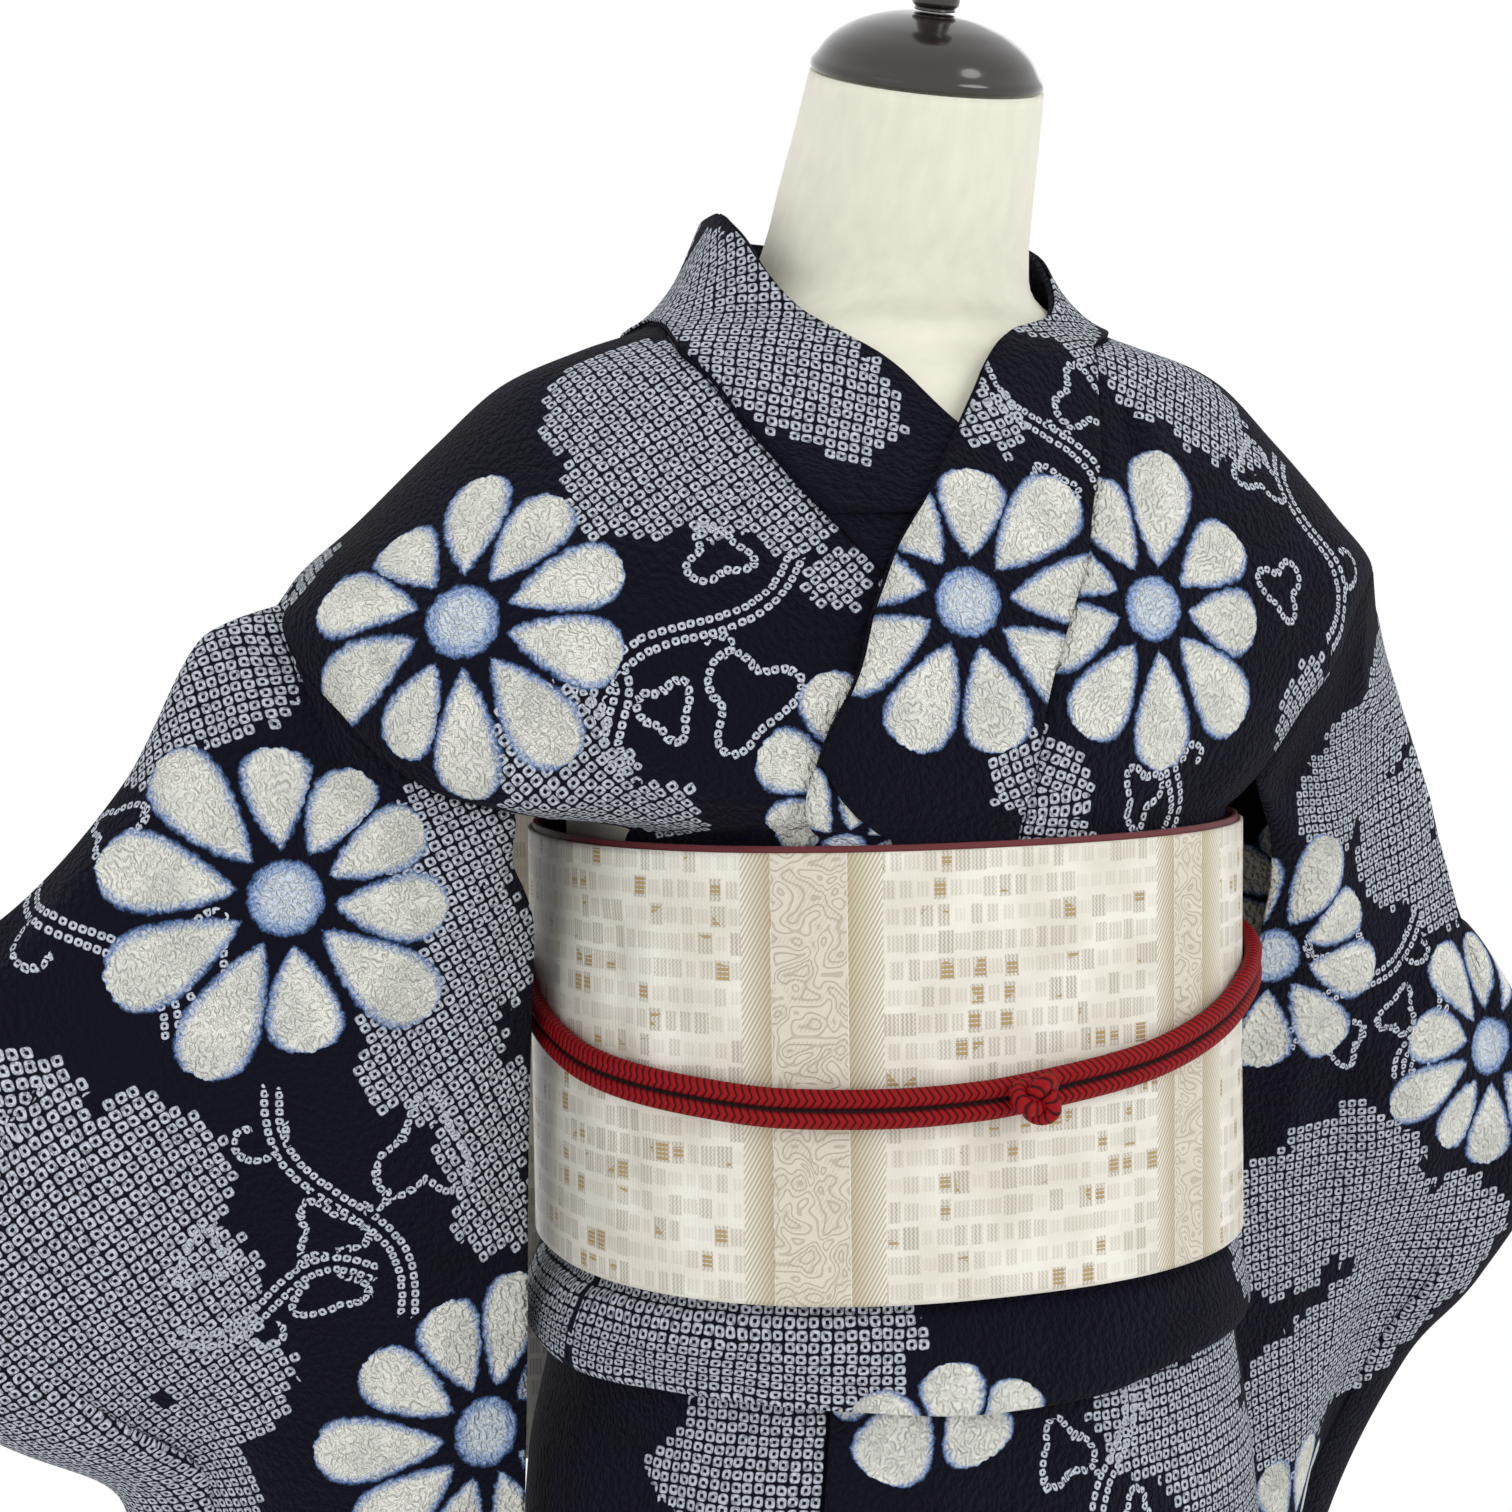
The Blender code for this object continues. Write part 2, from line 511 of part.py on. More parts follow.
# Tube of one sleeve: rings follow the front down and the back up. x and z come from the tables;
# front and back stand off the middle by the gap, which grows as the root of the distance from
# each fold, along the level normal of the middle
def sleeve(name, side):
    xs, zs, ys, gaps = (LEFT_X, LEFT_Z, LEFT_Y, LEFT_GAP) if side > 0 else (
        RIGHT_X, RIGHT_Z, RIGHT_Y, RIGHT_GAP)
    curl_from = SLEEVE_S[3]
    s = np.concatenate([np.linspace(0.0, curl_from, 9), np.linspace(curl_from, 1.0, 6)[1:]])
    sewn_rows = ALONG[ALONG <= 0.62 + 1e-9]
    t = np.concatenate([sewn_rows / 0.62 * SEWN, LOWER_ROWS])
    curl = np.radians(CURL_TURN) * np.clip((s - curl_from) / (1.0 - curl_from), 0.0, 1.0)[None, :]
    x = (net(xs, s, t) + CURL_R * np.sin(curl)) * side
    z = net(zs, s, t)
    y = net(ys, s, t) + CURL_R * (1.0 - np.cos(curl))
    gap = net(gaps, s, t)
    ends = np.sqrt(np.clip(np.minimum(t / 0.08, (1 - t) / 0.04), 0.0, 1.0))
    gap = gap * ends[:, None]
    waves = 0.005 * np.sin(7.5 * s[None, :] + 2.0 * t[:, None] + side) * np.clip(t * 2.2, 0, 1)[:, None]
    y = y + waves * np.clip(s * 3.0, 0.0, 1.0)[None, :]
    along_x = np.gradient(x, axis=1)
    along_y = np.gradient(y, axis=1)
    size = np.hypot(along_x, along_y)
    turn = np.clip((s - 0.15) / 0.35, 0.0, 1.0)[None, :]
    normal_x = side * along_y / size * turn
    normal_y = -side * along_x / size * turn - (1 - turn)
    front = np.stack([x + gap * normal_x, y + gap * normal_y, z], -1)
    back = np.stack([x - gap * normal_x, y - gap * normal_y, z], -1)
    # The seam column butts against the edge of the body panel
    panel = bodice_grid(side)
    rows = len(sewn_rows)
    top = len(ALONG) - 1
    edge = panel[:, -1]
    outward = panel[:, -1] - panel[:, -2]
    outward /= np.linalg.norm(outward, axis=1, keepdims=True)
    seam = edge + outward * (0.0007 + 0.0014 * np.interp(np.abs(np.arange(len(edge)) - top), (4, 8), (0, 1)))[:, None]
    front[:rows, 0] = seam[top - rows + 1:top + 1][::-1]
    back[:rows, 0] = seam[top:top + rows]
    loop = np.concatenate([front, back[-2:0:-1]])
    grid = loop.transpose(1, 0, 2)
    # Strip that closes the outer edge below the opening for the hand
    strip = []
    last = (len(s) - 1) * len(loop)
    for row in np.flatnonzero(t >= CLOSED_FROM)[:-1]:
        lower = (len(loop) - row - 1) % len(loop)
        quad = (last + row, last + row + 1, last + lower, last + (len(loop) - row) % len(loop))
        strip.append(quad if row < len(t) - 2 else (quad[0], quad[1], quad[3]))
    sheet(name, grid, COTTON, wrap_cols=True, flip=side < 0, more=strip)


sleeve("sleeve_right", -1)
sleeve("sleeve_left", 1)

SKIRT_ROWS = np.array([1.058, 1.0, 0.955, 0.93, 0.90, 0.87, 0.83, 0.78, 0.70, 0.60, 0.50, 0.40,
                       0.30, 0.20, 0.11, 0.045])


# Wrapped panels under the sash, with soft upright folds that grow towards the hem
def skirt_grid(angles, base):
    ring = ring_at(SKIRT_ROWS)[:, None] + 0.0 * angles[None, :]
    angle = angles[None, :] + 0.0 * ring
    fall = np.clip((0.93 - SKIRT_ROWS) / 0.45, 0.0, 1.0)[:, None]
    folds = 0.5 + 0.5 * np.sin(np.radians(angle) * 7.0 + 0.8 * np.sin(np.radians(angle) * 3.0))
    off = base + 0.0075 * folds * fall
    return on_body(angle, ring, off)


TURNS = np.arange(-180.0, 181.0, 10.0)


# The shared angles between two edges, so that layers keep their distance
def panel_angles(first, last):
    inside = TURNS[(TURNS > first + 1.5) & (TURNS < last - 1.5)]
    return np.concatenate([[first], inside, [last]])


# The right half goes from the centre back round the right side and under the left front
UNDER = FIRST
OUTER = FIRST + 0.0021
for label, first, last, off in (
        ("skirt_right", -179.7, 26.4, UNDER), ("okumi_right", 27.0, 78.0, UNDER),
        ("skirt_left", -26.4, 179.7, OUTER), ("okumi_left", -78.0, -27.0, OUTER)):
    sheet(label, skirt_grid(panel_angles(first, last), off), COTTON, flip=True)


# Fold of the body panels below the sash: down outside, round the edge and up inside
def tuck():
    angles = np.linspace(-180.0, 180.0, 44, endpoint=False)
    edge = curve(TUCK_EDGE[:, 0], TUCK_EDGE[:, 1], angles)
    puff = TUCK_PUFF * np.exp(-((angles - TUCK_PUFF_AT) / TUCK_PUFF_WIDE) ** 2)
    grid = []
    for above, height, off, share in TUCK_ROWS:
        level = edge + above if above is not None else height + 0.0 * angles
        grid.append(on_body(angles, ring_at(level), off + share * puff))
    grid = np.array(grid)
    return sheet("ohashori", grid, COTTON, SKIN, wrap_cols=True, flip=True)


tuck()


# Upper and lower edge of the sash: the lower edge dips at the centre front
def sash_edge(angles, top):
    dip = OBI_DIP * (0.5 + 0.5 * np.cos(np.radians(angles)))
    return OBI_TOP + 0.0 * angles if top else OBI_LOW - dip + OBI_DIP * 0.5


def sash_turn(name, off, mat, raise_top, wall=OBI_WALL):
    angles = np.linspace(-180.0, 180.0, 48, endpoint=False)
    low = sash_edge(angles, False)
    high = sash_edge(angles, True) + raise_top
    rows = []
    for part in (0.0, 0.5, 1.0):
        height = low + (high - low) * part
        base = np.minimum(ring_at(height), 7.0)
        point = on_body(angles, base, off)
        point[:, 2] = height
        rows.append(point)
    return sheet(name, np.array(rows), mat, wall, wrap_cols=True)


sash_turn("obi_inner", OBI_IN, LINING, 0.0022)
sash_turn("obi_outer", OBI_OUT, SASH, 0.0)


# Strip of cloth that follows a profile of depth and height pairs, with straight sides
def bent_strip(name, profile, half_width, mat, wall, shift=0.0):
    across = np.linspace(-half_width, half_width, 9) + shift
    rows = []
    for depth, height in profile:
        rows.append([(x, depth, height) for x in across])
    return sheet(name, np.array(rows), mat, wall)


DRUM = ((0.1212, 1.078), (0.1212, 1.104), (0.1230, 1.135), (0.1320, 1.152), (0.1460, 1.156),
        (0.1580, 1.148), (0.1660, 1.120), (0.1710, 1.060), (0.1720, 0.990), (0.1690, 0.930),
        (0.1620, 0.900), (0.1530, 0.888), (0.1450, 0.892), (0.1410, 0.906), (0.1400, 0.950))
bent_strip("obi_drum", DRUM, 0.138, SASH, OBI_WALL)
TAIL = ((0.1284, 1.040), (0.1294, 0.960), (0.1310, 0.900), (0.1330, 0.860), (0.1360, 0.825))
bent_strip("obi_tail", TAIL, 0.130, SASH, OBI_WALL)
STRIP = ((0.1300, 1.066), (0.1306, 1.020), (0.1311, 0.976))
bent_strip("obi_strip", STRIP, 0.140, SASH, OBI_WALL)


def cord_points(angles, off, lift=0.0):
    height = curve(CORD_PATH[:, 0], CORD_PATH[:, 1], angles) + lift
    point = on_body(angles, 6.5, off)
    point[..., 2] = height
    return point


# Two round ribs side by side, as offsets upwards and outwards from the cord's middle
def double_section(count=10):
    turn = np.linspace(0.0, 2 * np.pi, count, endpoint=False)
    up = (CORD_SIDE + CORD_R) * np.cos(turn)
    ridge = np.sqrt(np.clip(1.0 - ((np.abs(up) - CORD_SIDE * 0.72) / (CORD_R * 1.35)) ** 2, 0.0, 1.0))
    out = CORD_R * np.sign(np.sin(turn)) * np.where(np.abs(np.sin(turn)) < 1e-6, 0.0, ridge)
    return up, out


def cord():
    angles = np.linspace(-180.0, 180.0, 64, endpoint=False)
    middle = cord_points(angles, OBI_OUT + OBI_WALL + CORD_R + 0.0004)
    after = np.roll(middle, -1, 0) - np.roll(middle, 1, 0)
    after /= np.linalg.norm(after, axis=1, keepdims=True)
    outward = envelope_normal(angles, 6.5 + 0.0 * angles)
    upward = np.cross(outward, after)
    up, out = double_section()
    grid = middle[:, None] + upward[:, None] * up[None, :, None] + outward[:, None] * out[None, :, None]
    faces = grid_faces(len(angles), len(up), wrap_rows=True, wrap_cols=True)
    return mesh_object("sash_cord", grid.reshape(-1, 3), faces, CORD)


cord()


# Flat knot on the cord: one closed loop of cord that stands just clear of the straight part
def knot():
    centre = cord_points(np.array([KNOT_ANGLE]), OBI_OUT + OBI_WALL + 2 * CORD_R + 0.0055)[0]
    turn = np.linspace(0.0, 2 * np.pi, 24, endpoint=False)
    x = 0.0088 * np.cos(turn)
    z = 0.0062 * np.sin(turn)
    y = 0.0008 * np.cos(2 * turn)
    path = np.stack([x, y, z], -1) + centre
    after = np.roll(path, -1, 0) - np.roll(path, 1, 0)
    after /= np.linalg.norm(after, axis=1, keepdims=True)
    depth = np.tile(np.array([0.0, -1.0, 0.0]), (len(turn), 1))
    side = np.cross(after, depth)
    side /= np.linalg.norm(side, axis=1, keepdims=True)
    ring = np.linspace(0.0, 2 * np.pi, 8, endpoint=False)
    round_r = 0.0043
    grid = path[:, None] + round_r * (side[:, None] * np.cos(ring)[None, :, None]
                                      + depth[:, None] * np.sin(ring)[None, :, None])
    faces = grid_faces(len(turn), len(ring), wrap_rows=True, wrap_cols=True, flip=True)
    return mesh_object("sash_knot", grid.reshape(-1, 3), faces, CORD)


knot()
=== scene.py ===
# Cotton yukata robe with brocade sash and braided cord on a limbless dress form
# Metres, Z up, the wearer faces -Y and the wearer's left is +X
import bpy
import numpy as np
from mathutils import Matrix, Vector


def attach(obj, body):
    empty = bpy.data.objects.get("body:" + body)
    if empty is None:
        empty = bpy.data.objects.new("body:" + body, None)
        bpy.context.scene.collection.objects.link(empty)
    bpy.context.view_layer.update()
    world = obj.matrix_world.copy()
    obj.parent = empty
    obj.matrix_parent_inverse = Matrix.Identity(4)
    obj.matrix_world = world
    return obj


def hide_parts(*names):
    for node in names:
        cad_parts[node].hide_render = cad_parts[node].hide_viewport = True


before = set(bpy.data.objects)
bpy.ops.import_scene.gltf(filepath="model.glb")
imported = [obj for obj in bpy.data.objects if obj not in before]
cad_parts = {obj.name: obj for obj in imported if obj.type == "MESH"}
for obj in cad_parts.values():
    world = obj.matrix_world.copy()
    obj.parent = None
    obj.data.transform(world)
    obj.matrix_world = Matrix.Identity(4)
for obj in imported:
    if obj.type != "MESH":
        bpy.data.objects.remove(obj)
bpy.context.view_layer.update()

# Camera of the photograph, and the soft studio light
view = dict(place=(-0.3830, -0.9283, 1.2039), forward=(0.3326, 0.9406, -0.0683), level=-19.477,
            roll=-0.785, lens=61.2, sensor=36.0, near=0.05)
studio = dict(floor=1.15, world=1.0, exposure=0.0)
lights = dict(
    key=dict(place=(0.9, -1.9, 2.3), aim=(0.0, 0.0, 1.1), size=1.0, power=9.0),
    fill=dict(place=(-1.9, -1.2, 1.5), aim=(0.0, 0.0, 1.1), size=1.4, power=1.5),
    rim=dict(place=(1.4, 1.6, 2.2), aim=(0.0, 0.0, 1.1), size=1.2, power=3.0))

# The robe's body as stacked rings: height, half width left, right, depth in front, behind
body = dict(power=2.3, rings=np.array([
    (0.040, 0.1380, 0.1420, 0.1140, 0.1180),
    (0.300, 0.1400, 0.1440, 0.1160, 0.1200),
    (0.600, 0.1410, 0.1460, 0.1180, 0.1220),
    (0.780, 0.1400, 0.1460, 0.1170, 0.1200),
    (0.860, 0.1360, 0.1430, 0.1140, 0.1160),
    (0.910, 0.1295, 0.1335, 0.1102, 0.1112),
    (0.955, 0.1255, 0.1295, 0.1085, 0.1085),
    (1.070, 0.1255, 0.1295, 0.1085, 0.1085),
    (1.102, 0.1257, 0.1297, 0.1086, 0.1085),
    (1.116, 0.1275, 0.1322, 0.1090, 0.1088),
    (1.124, 0.1380, 0.1700, 0.1102, 0.1092),
    (1.135, 0.1520, 0.2060, 0.1110, 0.1090),
    (1.158, 0.1730, 0.2290, 0.1110, 0.1085),
    (1.187, 0.1950, 0.2365, 0.1080, 0.1065),
    (1.204, 0.2010, 0.2280, 0.1045, 0.1045),
    (1.226, 0.1840, 0.2035, 0.0975, 0.1015),
    (1.254, 0.1590, 0.1740, 0.0835, 0.0965),
    (1.277, 0.1350, 0.1470, 0.0710, 0.0910),
    (1.289, 0.1040, 0.1190, 0.0630, 0.0860),
    (1.298, 0.0800, 0.0940, 0.0570, 0.0820),
    (1.3145, 0.0625, 0.0770, 0.0530, 0.0800),
    (1.341, 0.0515, 0.0634, 0.0470, 0.0790)]))

# Layers of cloth, as distances from the body
layer = dict(cloth=0.0012, band=0.0020, skin=0.0010, first=0.0004, rise=0.0044, bodiceEnd=7.15)

# Seams on the body: angle from the centre front, ring index
seams = dict(
    armholeRight=((-90, 14.1), (-85, 13.3), (-79, 12.6), (-71, 12.0), (-66, 11.4), (-64, 10.9),
                  (-62, 10.4), (-62, 9.6), (-66, 8.7), (-70, 7.9), (-72, 7.15)),
    armholeLeft=((90, 14.1), (68, 14.0), (57, 13.6), (52, 12.7), (50, 12.0), (50, 11.4),
                 (51, 10.6), (54, 9.7), (60, 8.7), (66, 7.9), (68, 7.15)),
    armholeAt=(0.0, 0.10, 0.20, 0.32, 0.42, 0.52, 0.62, 0.70, 0.80, 0.92, 1.0),
    neckLeft=((90, 19.0), (60, 18.6), (38, 18.0), (25, 17.5), (16, 16.3), (13.2, 15.7),
              (9.2, 15.0), (6.4, 13.9), (4.6, 12.9), (2.8, 12.1), (1.8, 11.0), (0.6, 9.2),
              (0, 7.15)),
    edgeLeft=((90, 20.7), (66, 20.3), (34, 19.2), (12, 18.3), (3, 17.2), (-1.5, 16.1),
              (-5, 15.3), (-8, 14.5), (-11, 12.6), (-14, 11.9), (-17, 11.2), (-25, 9.4),
              (-34, 7.15)),
    neckRight=((90, 19.0), (72, 18.7), (54, 18.0), (44, 17.4), (34, 16.8), (26, 16.1),
               (19.5, 15.5), (12.5, 14.7), (7.5, 13.8), (4.5, 12.6), (2, 11.2), (0.6, 9.2),
               (0, 7.15)),
    edgeRight=((90, 21.0), (66, 20.6), (36, 19.4), (20, 18.3), (10, 17.4), (3, 16.4),
               (-2, 15.6), (-6, 14.6), (-10, 12.9), (-13.5, 12.0), (-17, 11.2), (-25, 9.4),
               (-34, 7.15)),
    neckAt=(0.0, 0.08, 0.18, 0.26, 0.34, 0.41, 0.48, 0.57, 0.65, 0.73, 0.82, 0.92, 1.0))


# Monotone cubic through a table: Hermite pieces with harmonic-mean slopes, flat at turning points
def curve(keys, values, at):
    keys = np.asarray(keys, float)
    values = np.asarray(values, float)
    at = np.asarray(at, float)
    step = np.diff(keys)
    slope = np.diff(values) / step
    tangent = np.zeros_like(values)
    tangent[0] = slope[0]
    tangent[-1] = slope[-1]
    same = slope[:-1] * slope[1:] > 0
    w1 = 2 * step[1:] + step[:-1]
    w2 = step[1:] + 2 * step[:-1]
    before = np.where(same, slope[:-1], 1.0)
    after = np.where(same, slope[1:], 1.0)
    tangent[1:-1] = np.where(same, (w1 + w2) / (w1 / before + w2 / after), 0.0)
    i = np.clip(np.searchsorted(keys, at) - 1, 0, len(step) - 1)
    t = np.clip((at - keys[i]) / step[i], 0.0, 1.0)
    first = (1 + 2 * t) * (1 - t) ** 2 * values[i] + t * (1 - t) ** 2 * step[i] * tangent[i]
    second = t * t * (3 - 2 * t) * values[i + 1] + t * t * (t - 1) * step[i] * tangent[i + 1]
    return first + second


ringIndex = np.arange(len(body["rings"]))


# Point on the body: superellipse of the ring, power 2.3, own half widths left, right, front, back
def bodyPoint(angle, ring):
    turn = np.radians(angle)
    table = body["rings"]
    height, left, right, front, back = (curve(ringIndex, table[:, k], ring) for k in range(5))
    sine = np.sin(turn)
    cosine = np.cos(turn)
    power = 2.0 / body["power"]
    x = np.where(sine > 0, left, right) * np.sign(sine) * np.abs(sine) ** power
    y = -np.where(cosine > 0, front, back) * np.sign(cosine) * np.abs(cosine) ** power
    return np.stack([x, y, height], -1)


# Normal of the body: cross product of small steps round the ring and up the rings
def bodyNormal(angle, ring):
    top = len(ringIndex) - 1.0
    around = bodyPoint(angle + 0.5, ring) - bodyPoint(angle - 0.5, ring)
    up = bodyPoint(angle, np.minimum(ring + 0.03, top)) - bodyPoint(angle, np.maximum(ring - 0.03, 0.0))
    normal = np.cross(around, up)
    return normal / np.linalg.norm(normal, axis=-1, keepdims=True)


def onBody(angle, ring, off):
    angle, ring, off = np.broadcast_arrays(angle, ring, off)
    return bodyPoint(angle, ring) + off[..., None] * bodyNormal(angle, ring)


def ringAt(height):
    return np.interp(height, body["rings"][:, 0], ringIndex)


# Length along a row of points, from its start to each of them
def runLength(points):
    return np.concatenate([[0.0], np.cumsum(np.linalg.norm(np.diff(points, axis=0), axis=1))])


# A grid with its first column again at the end, so that it closes on itself
def closeRound(grid):
    return np.concatenate([grid, grid[:, :1]], 1)


# Points of a plane turned by an angle in radians
def spin(points, angle):
    c, s = np.cos(angle), np.sin(angle)
    x, y = points[..., 0], points[..., 1]
    return np.stack([x * c - y * s, x * s + y * c], -1)


def smooth(x, low=0.0, high=1.0):
    t = np.clip((x - low) / (high - low), 0.0, 1.0)
    return t * t * (3 - 2 * t)


# Splits every step of a row of numbers into the same count of smaller steps
def split(keys, count):
    keys = np.asarray(keys, float)
    at = np.arange((len(keys) - 1) * count + 1) / count
    return np.interp(at, np.arange(len(keys)), keys)


# Normals of a grid of points: cross product of the differences along columns and rows
def gridNormals(grid):
    down = np.gradient(grid, axis=0)
    over = np.gradient(grid, axis=1)
    normal = np.cross(over, down)
    size = np.linalg.norm(normal, axis=-1, keepdims=True)
    return normal / np.maximum(size, 1e-12)


# Soft folds: a point moves outwards by height times a bell of its distance to a line in (x, z)
def fold(grid, rows, outward, face=-1):
    x = grid[..., 0]
    z = grid[..., 2]
    move = np.zeros_like(x)
    for x0, z0, x1, z1, width, height in rows:
        dx = x1 - x0
        dz = z1 - z0
        along = ((x - x0) * dx + (z - z0) * dz) / (dx * dx + dz * dz)
        bend = np.clip(along, 0.0, 1.0)
        away = np.hypot(x - x0 - bend * dx, z - z0 - bend * dz)
        ends = smooth(along, -0.25, 0.2) * smooth(1 - along, -0.25, 0.2)
        move += height * np.exp(-(away / width) ** 2) * ends
    normal = gridNormals(grid) * outward
    facing = smooth(normal[..., 1] * face, -0.1, 0.5)
    return grid + (move * facing)[..., None] * normal


# Lays a grid flat: every edge and diagonal is moved towards its own length, averaged, many times
def flatten(grid, start, rounds):
    flat = start.copy()
    pairs = []
    for dr, dc in ((0, 1), (1, 0), (1, 1), (1, -1)):
        rows = slice(0, grid.shape[0] - dr)
        rowsTo = slice(dr, grid.shape[0])
        cols = slice(0, grid.shape[1] - dc) if dc >= 0 else slice(1, grid.shape[1])
        colsTo = slice(dc, grid.shape[1]) if dc >= 0 else slice(0, grid.shape[1] - 1)
        size = np.linalg.norm(grid[rows, cols] - grid[rowsTo, colsTo], axis=-1)
        pairs.append((rows, cols, rowsTo, colsTo, size))
    for _ in range(rounds):
        push = np.zeros_like(flat)
        count = np.zeros(flat.shape[:2])
        for rows, cols, rowsTo, colsTo, size in pairs:
            gap = flat[rowsTo, colsTo] - flat[rows, cols]
            now = np.maximum(np.linalg.norm(gap, axis=-1), 1e-9)
            part = gap * (0.5 * (now - size) / now)[..., None]
            push[rows, cols] += part
            push[rowsTo, colsTo] -= part
            count[rows, cols] += 1
            count[rowsTo, colsTo] += 1
        flat += push / count[..., None] * 1.6
    return flat


# Values at finer rows and columns of a grid, straight between its own
def resample(values, rows, cols):
    r = np.linspace(0, values.shape[0] - 1, rows)
    c = np.linspace(0, values.shape[1] - 1, cols)
    r0 = np.minimum(r.astype(int), values.shape[0] - 2)
    c0 = np.minimum(c.astype(int), values.shape[1] - 2)
    fr = (r - r0)[:, None, None]
    fc = (c - c0)[None, :, None]
    a = values[r0][:, c0]
    b = values[r0][:, c0 + 1]
    d = values[r0 + 1][:, c0]
    e = values[r0 + 1][:, c0 + 1]
    return (a * (1 - fc) + b * fc) * (1 - fr) + (d * (1 - fc) + e * fc) * fr


# Cloth coordinates of a grid in metres: laid flat coarse first, then fine, turned to the grain
def clothMap(grid, grain=0.0, coarse=7):
    rows = max(6, grid.shape[0] // coarse)
    cols = max(5, grid.shape[1] // coarse)
    small = resample(grid, rows, cols)
    middle = small[:, cols // 2]
    step = np.gradient(middle, axis=0)
    step /= np.linalg.norm(step, axis=1, keepdims=True)
    down = runLength(middle)
    ahead = ((small - middle[:, None]) * step[:, None]).sum(-1)
    beside = small - middle[:, None] - ahead[..., None] * step[:, None]
    over = np.linalg.norm(np.diff(beside, axis=1), axis=-1)
    u = np.concatenate([np.zeros((rows, 1)), np.cumsum(over, axis=1)], axis=1)
    u = u - u[:, cols // 2][:, None]
    v = -(down[:, None] + ahead)
    flat = flatten(small, np.stack([u, v], -1), 500)
    flat = resample(flat, grid.shape[0], grid.shape[1])
    flat = flatten(grid, flat, 60)
    return spin(flat - flat.mean((0, 1)), np.radians(grain))


# Motifs of the print. Places are (x, z) on the cloth as seen from the front, sizes in metres
motif = dict(cell=0.0043, vineStep=0.0033, vineHalf=0.0024, window=14)


# Stems and leaves of one vine in units of its size: an S stem, lobed leaves by a polar curve
# r = a (1 + b cos 3t), and curls by a spiral whose radius falls evenly
def vineCurves(kind):
    t = np.linspace(0.0, 1.0, 220)
    stem = np.stack([-1.0 + 2.0 * t, 0.20 * np.sin(2 * np.pi * t * 0.9 + 0.3) - 0.05], -1)
    turn = 2 * np.pi * t

    def leaf(x, y, size, angle):
        radius = size * (1 + 0.32 * np.cos(3 * turn) + 0.10 * np.cos(5 * turn + 0.6))
        return np.stack([x + radius * np.cos(turn + angle), y + radius * np.sin(turn + angle)], -1)

    def curl(x, y, size, angle, side):
        radius = size * (1 - 0.72 * t)
        bend = angle + side * 1.55 * np.pi * t
        return np.stack([x + radius * np.cos(bend), y + radius * np.sin(bend)], -1)

    if kind == 0:
        return [(stem, 1), (leaf(0.05, 0.62, 0.32, 0.5), 0), (leaf(-0.55, -0.42, 0.22, 2.2), 0),
                (curl(0.72, -0.40, 0.26, 1.4, 1), 0), (curl(-0.05, 0.20, 0.14, -1.0, -1), 0)]
    if kind == 1:
        return [(stem * np.array([1.0, 1.4]), 1), (leaf(-0.62, 0.52, 0.30, 1.2), 0),
                (leaf(0.60, 0.56, 0.24, -0.4), 0), (curl(0.10, -0.42, 0.28, 0.8, -1), 0)]
    return [(stem * np.array([0.7, 1.0]), 1), (leaf(0.18, 0.52, 0.30, 0.0), 0),
            (curl(-0.45, -0.30, 0.24, 1.0, 1), 0)]


# Nearest grid point to an (x, z), on the cloth that faces the camera's side or the back
def placeOn(grid, normals, x, z, face):
    away = (grid[..., 0] - x) ** 2 + (grid[..., 2] - z) ** 2
    away = away + np.where(normals[..., 1] * face < -0.05, 1.0, 0.0)
    return np.unravel_index(np.argmin(away), away.shape)


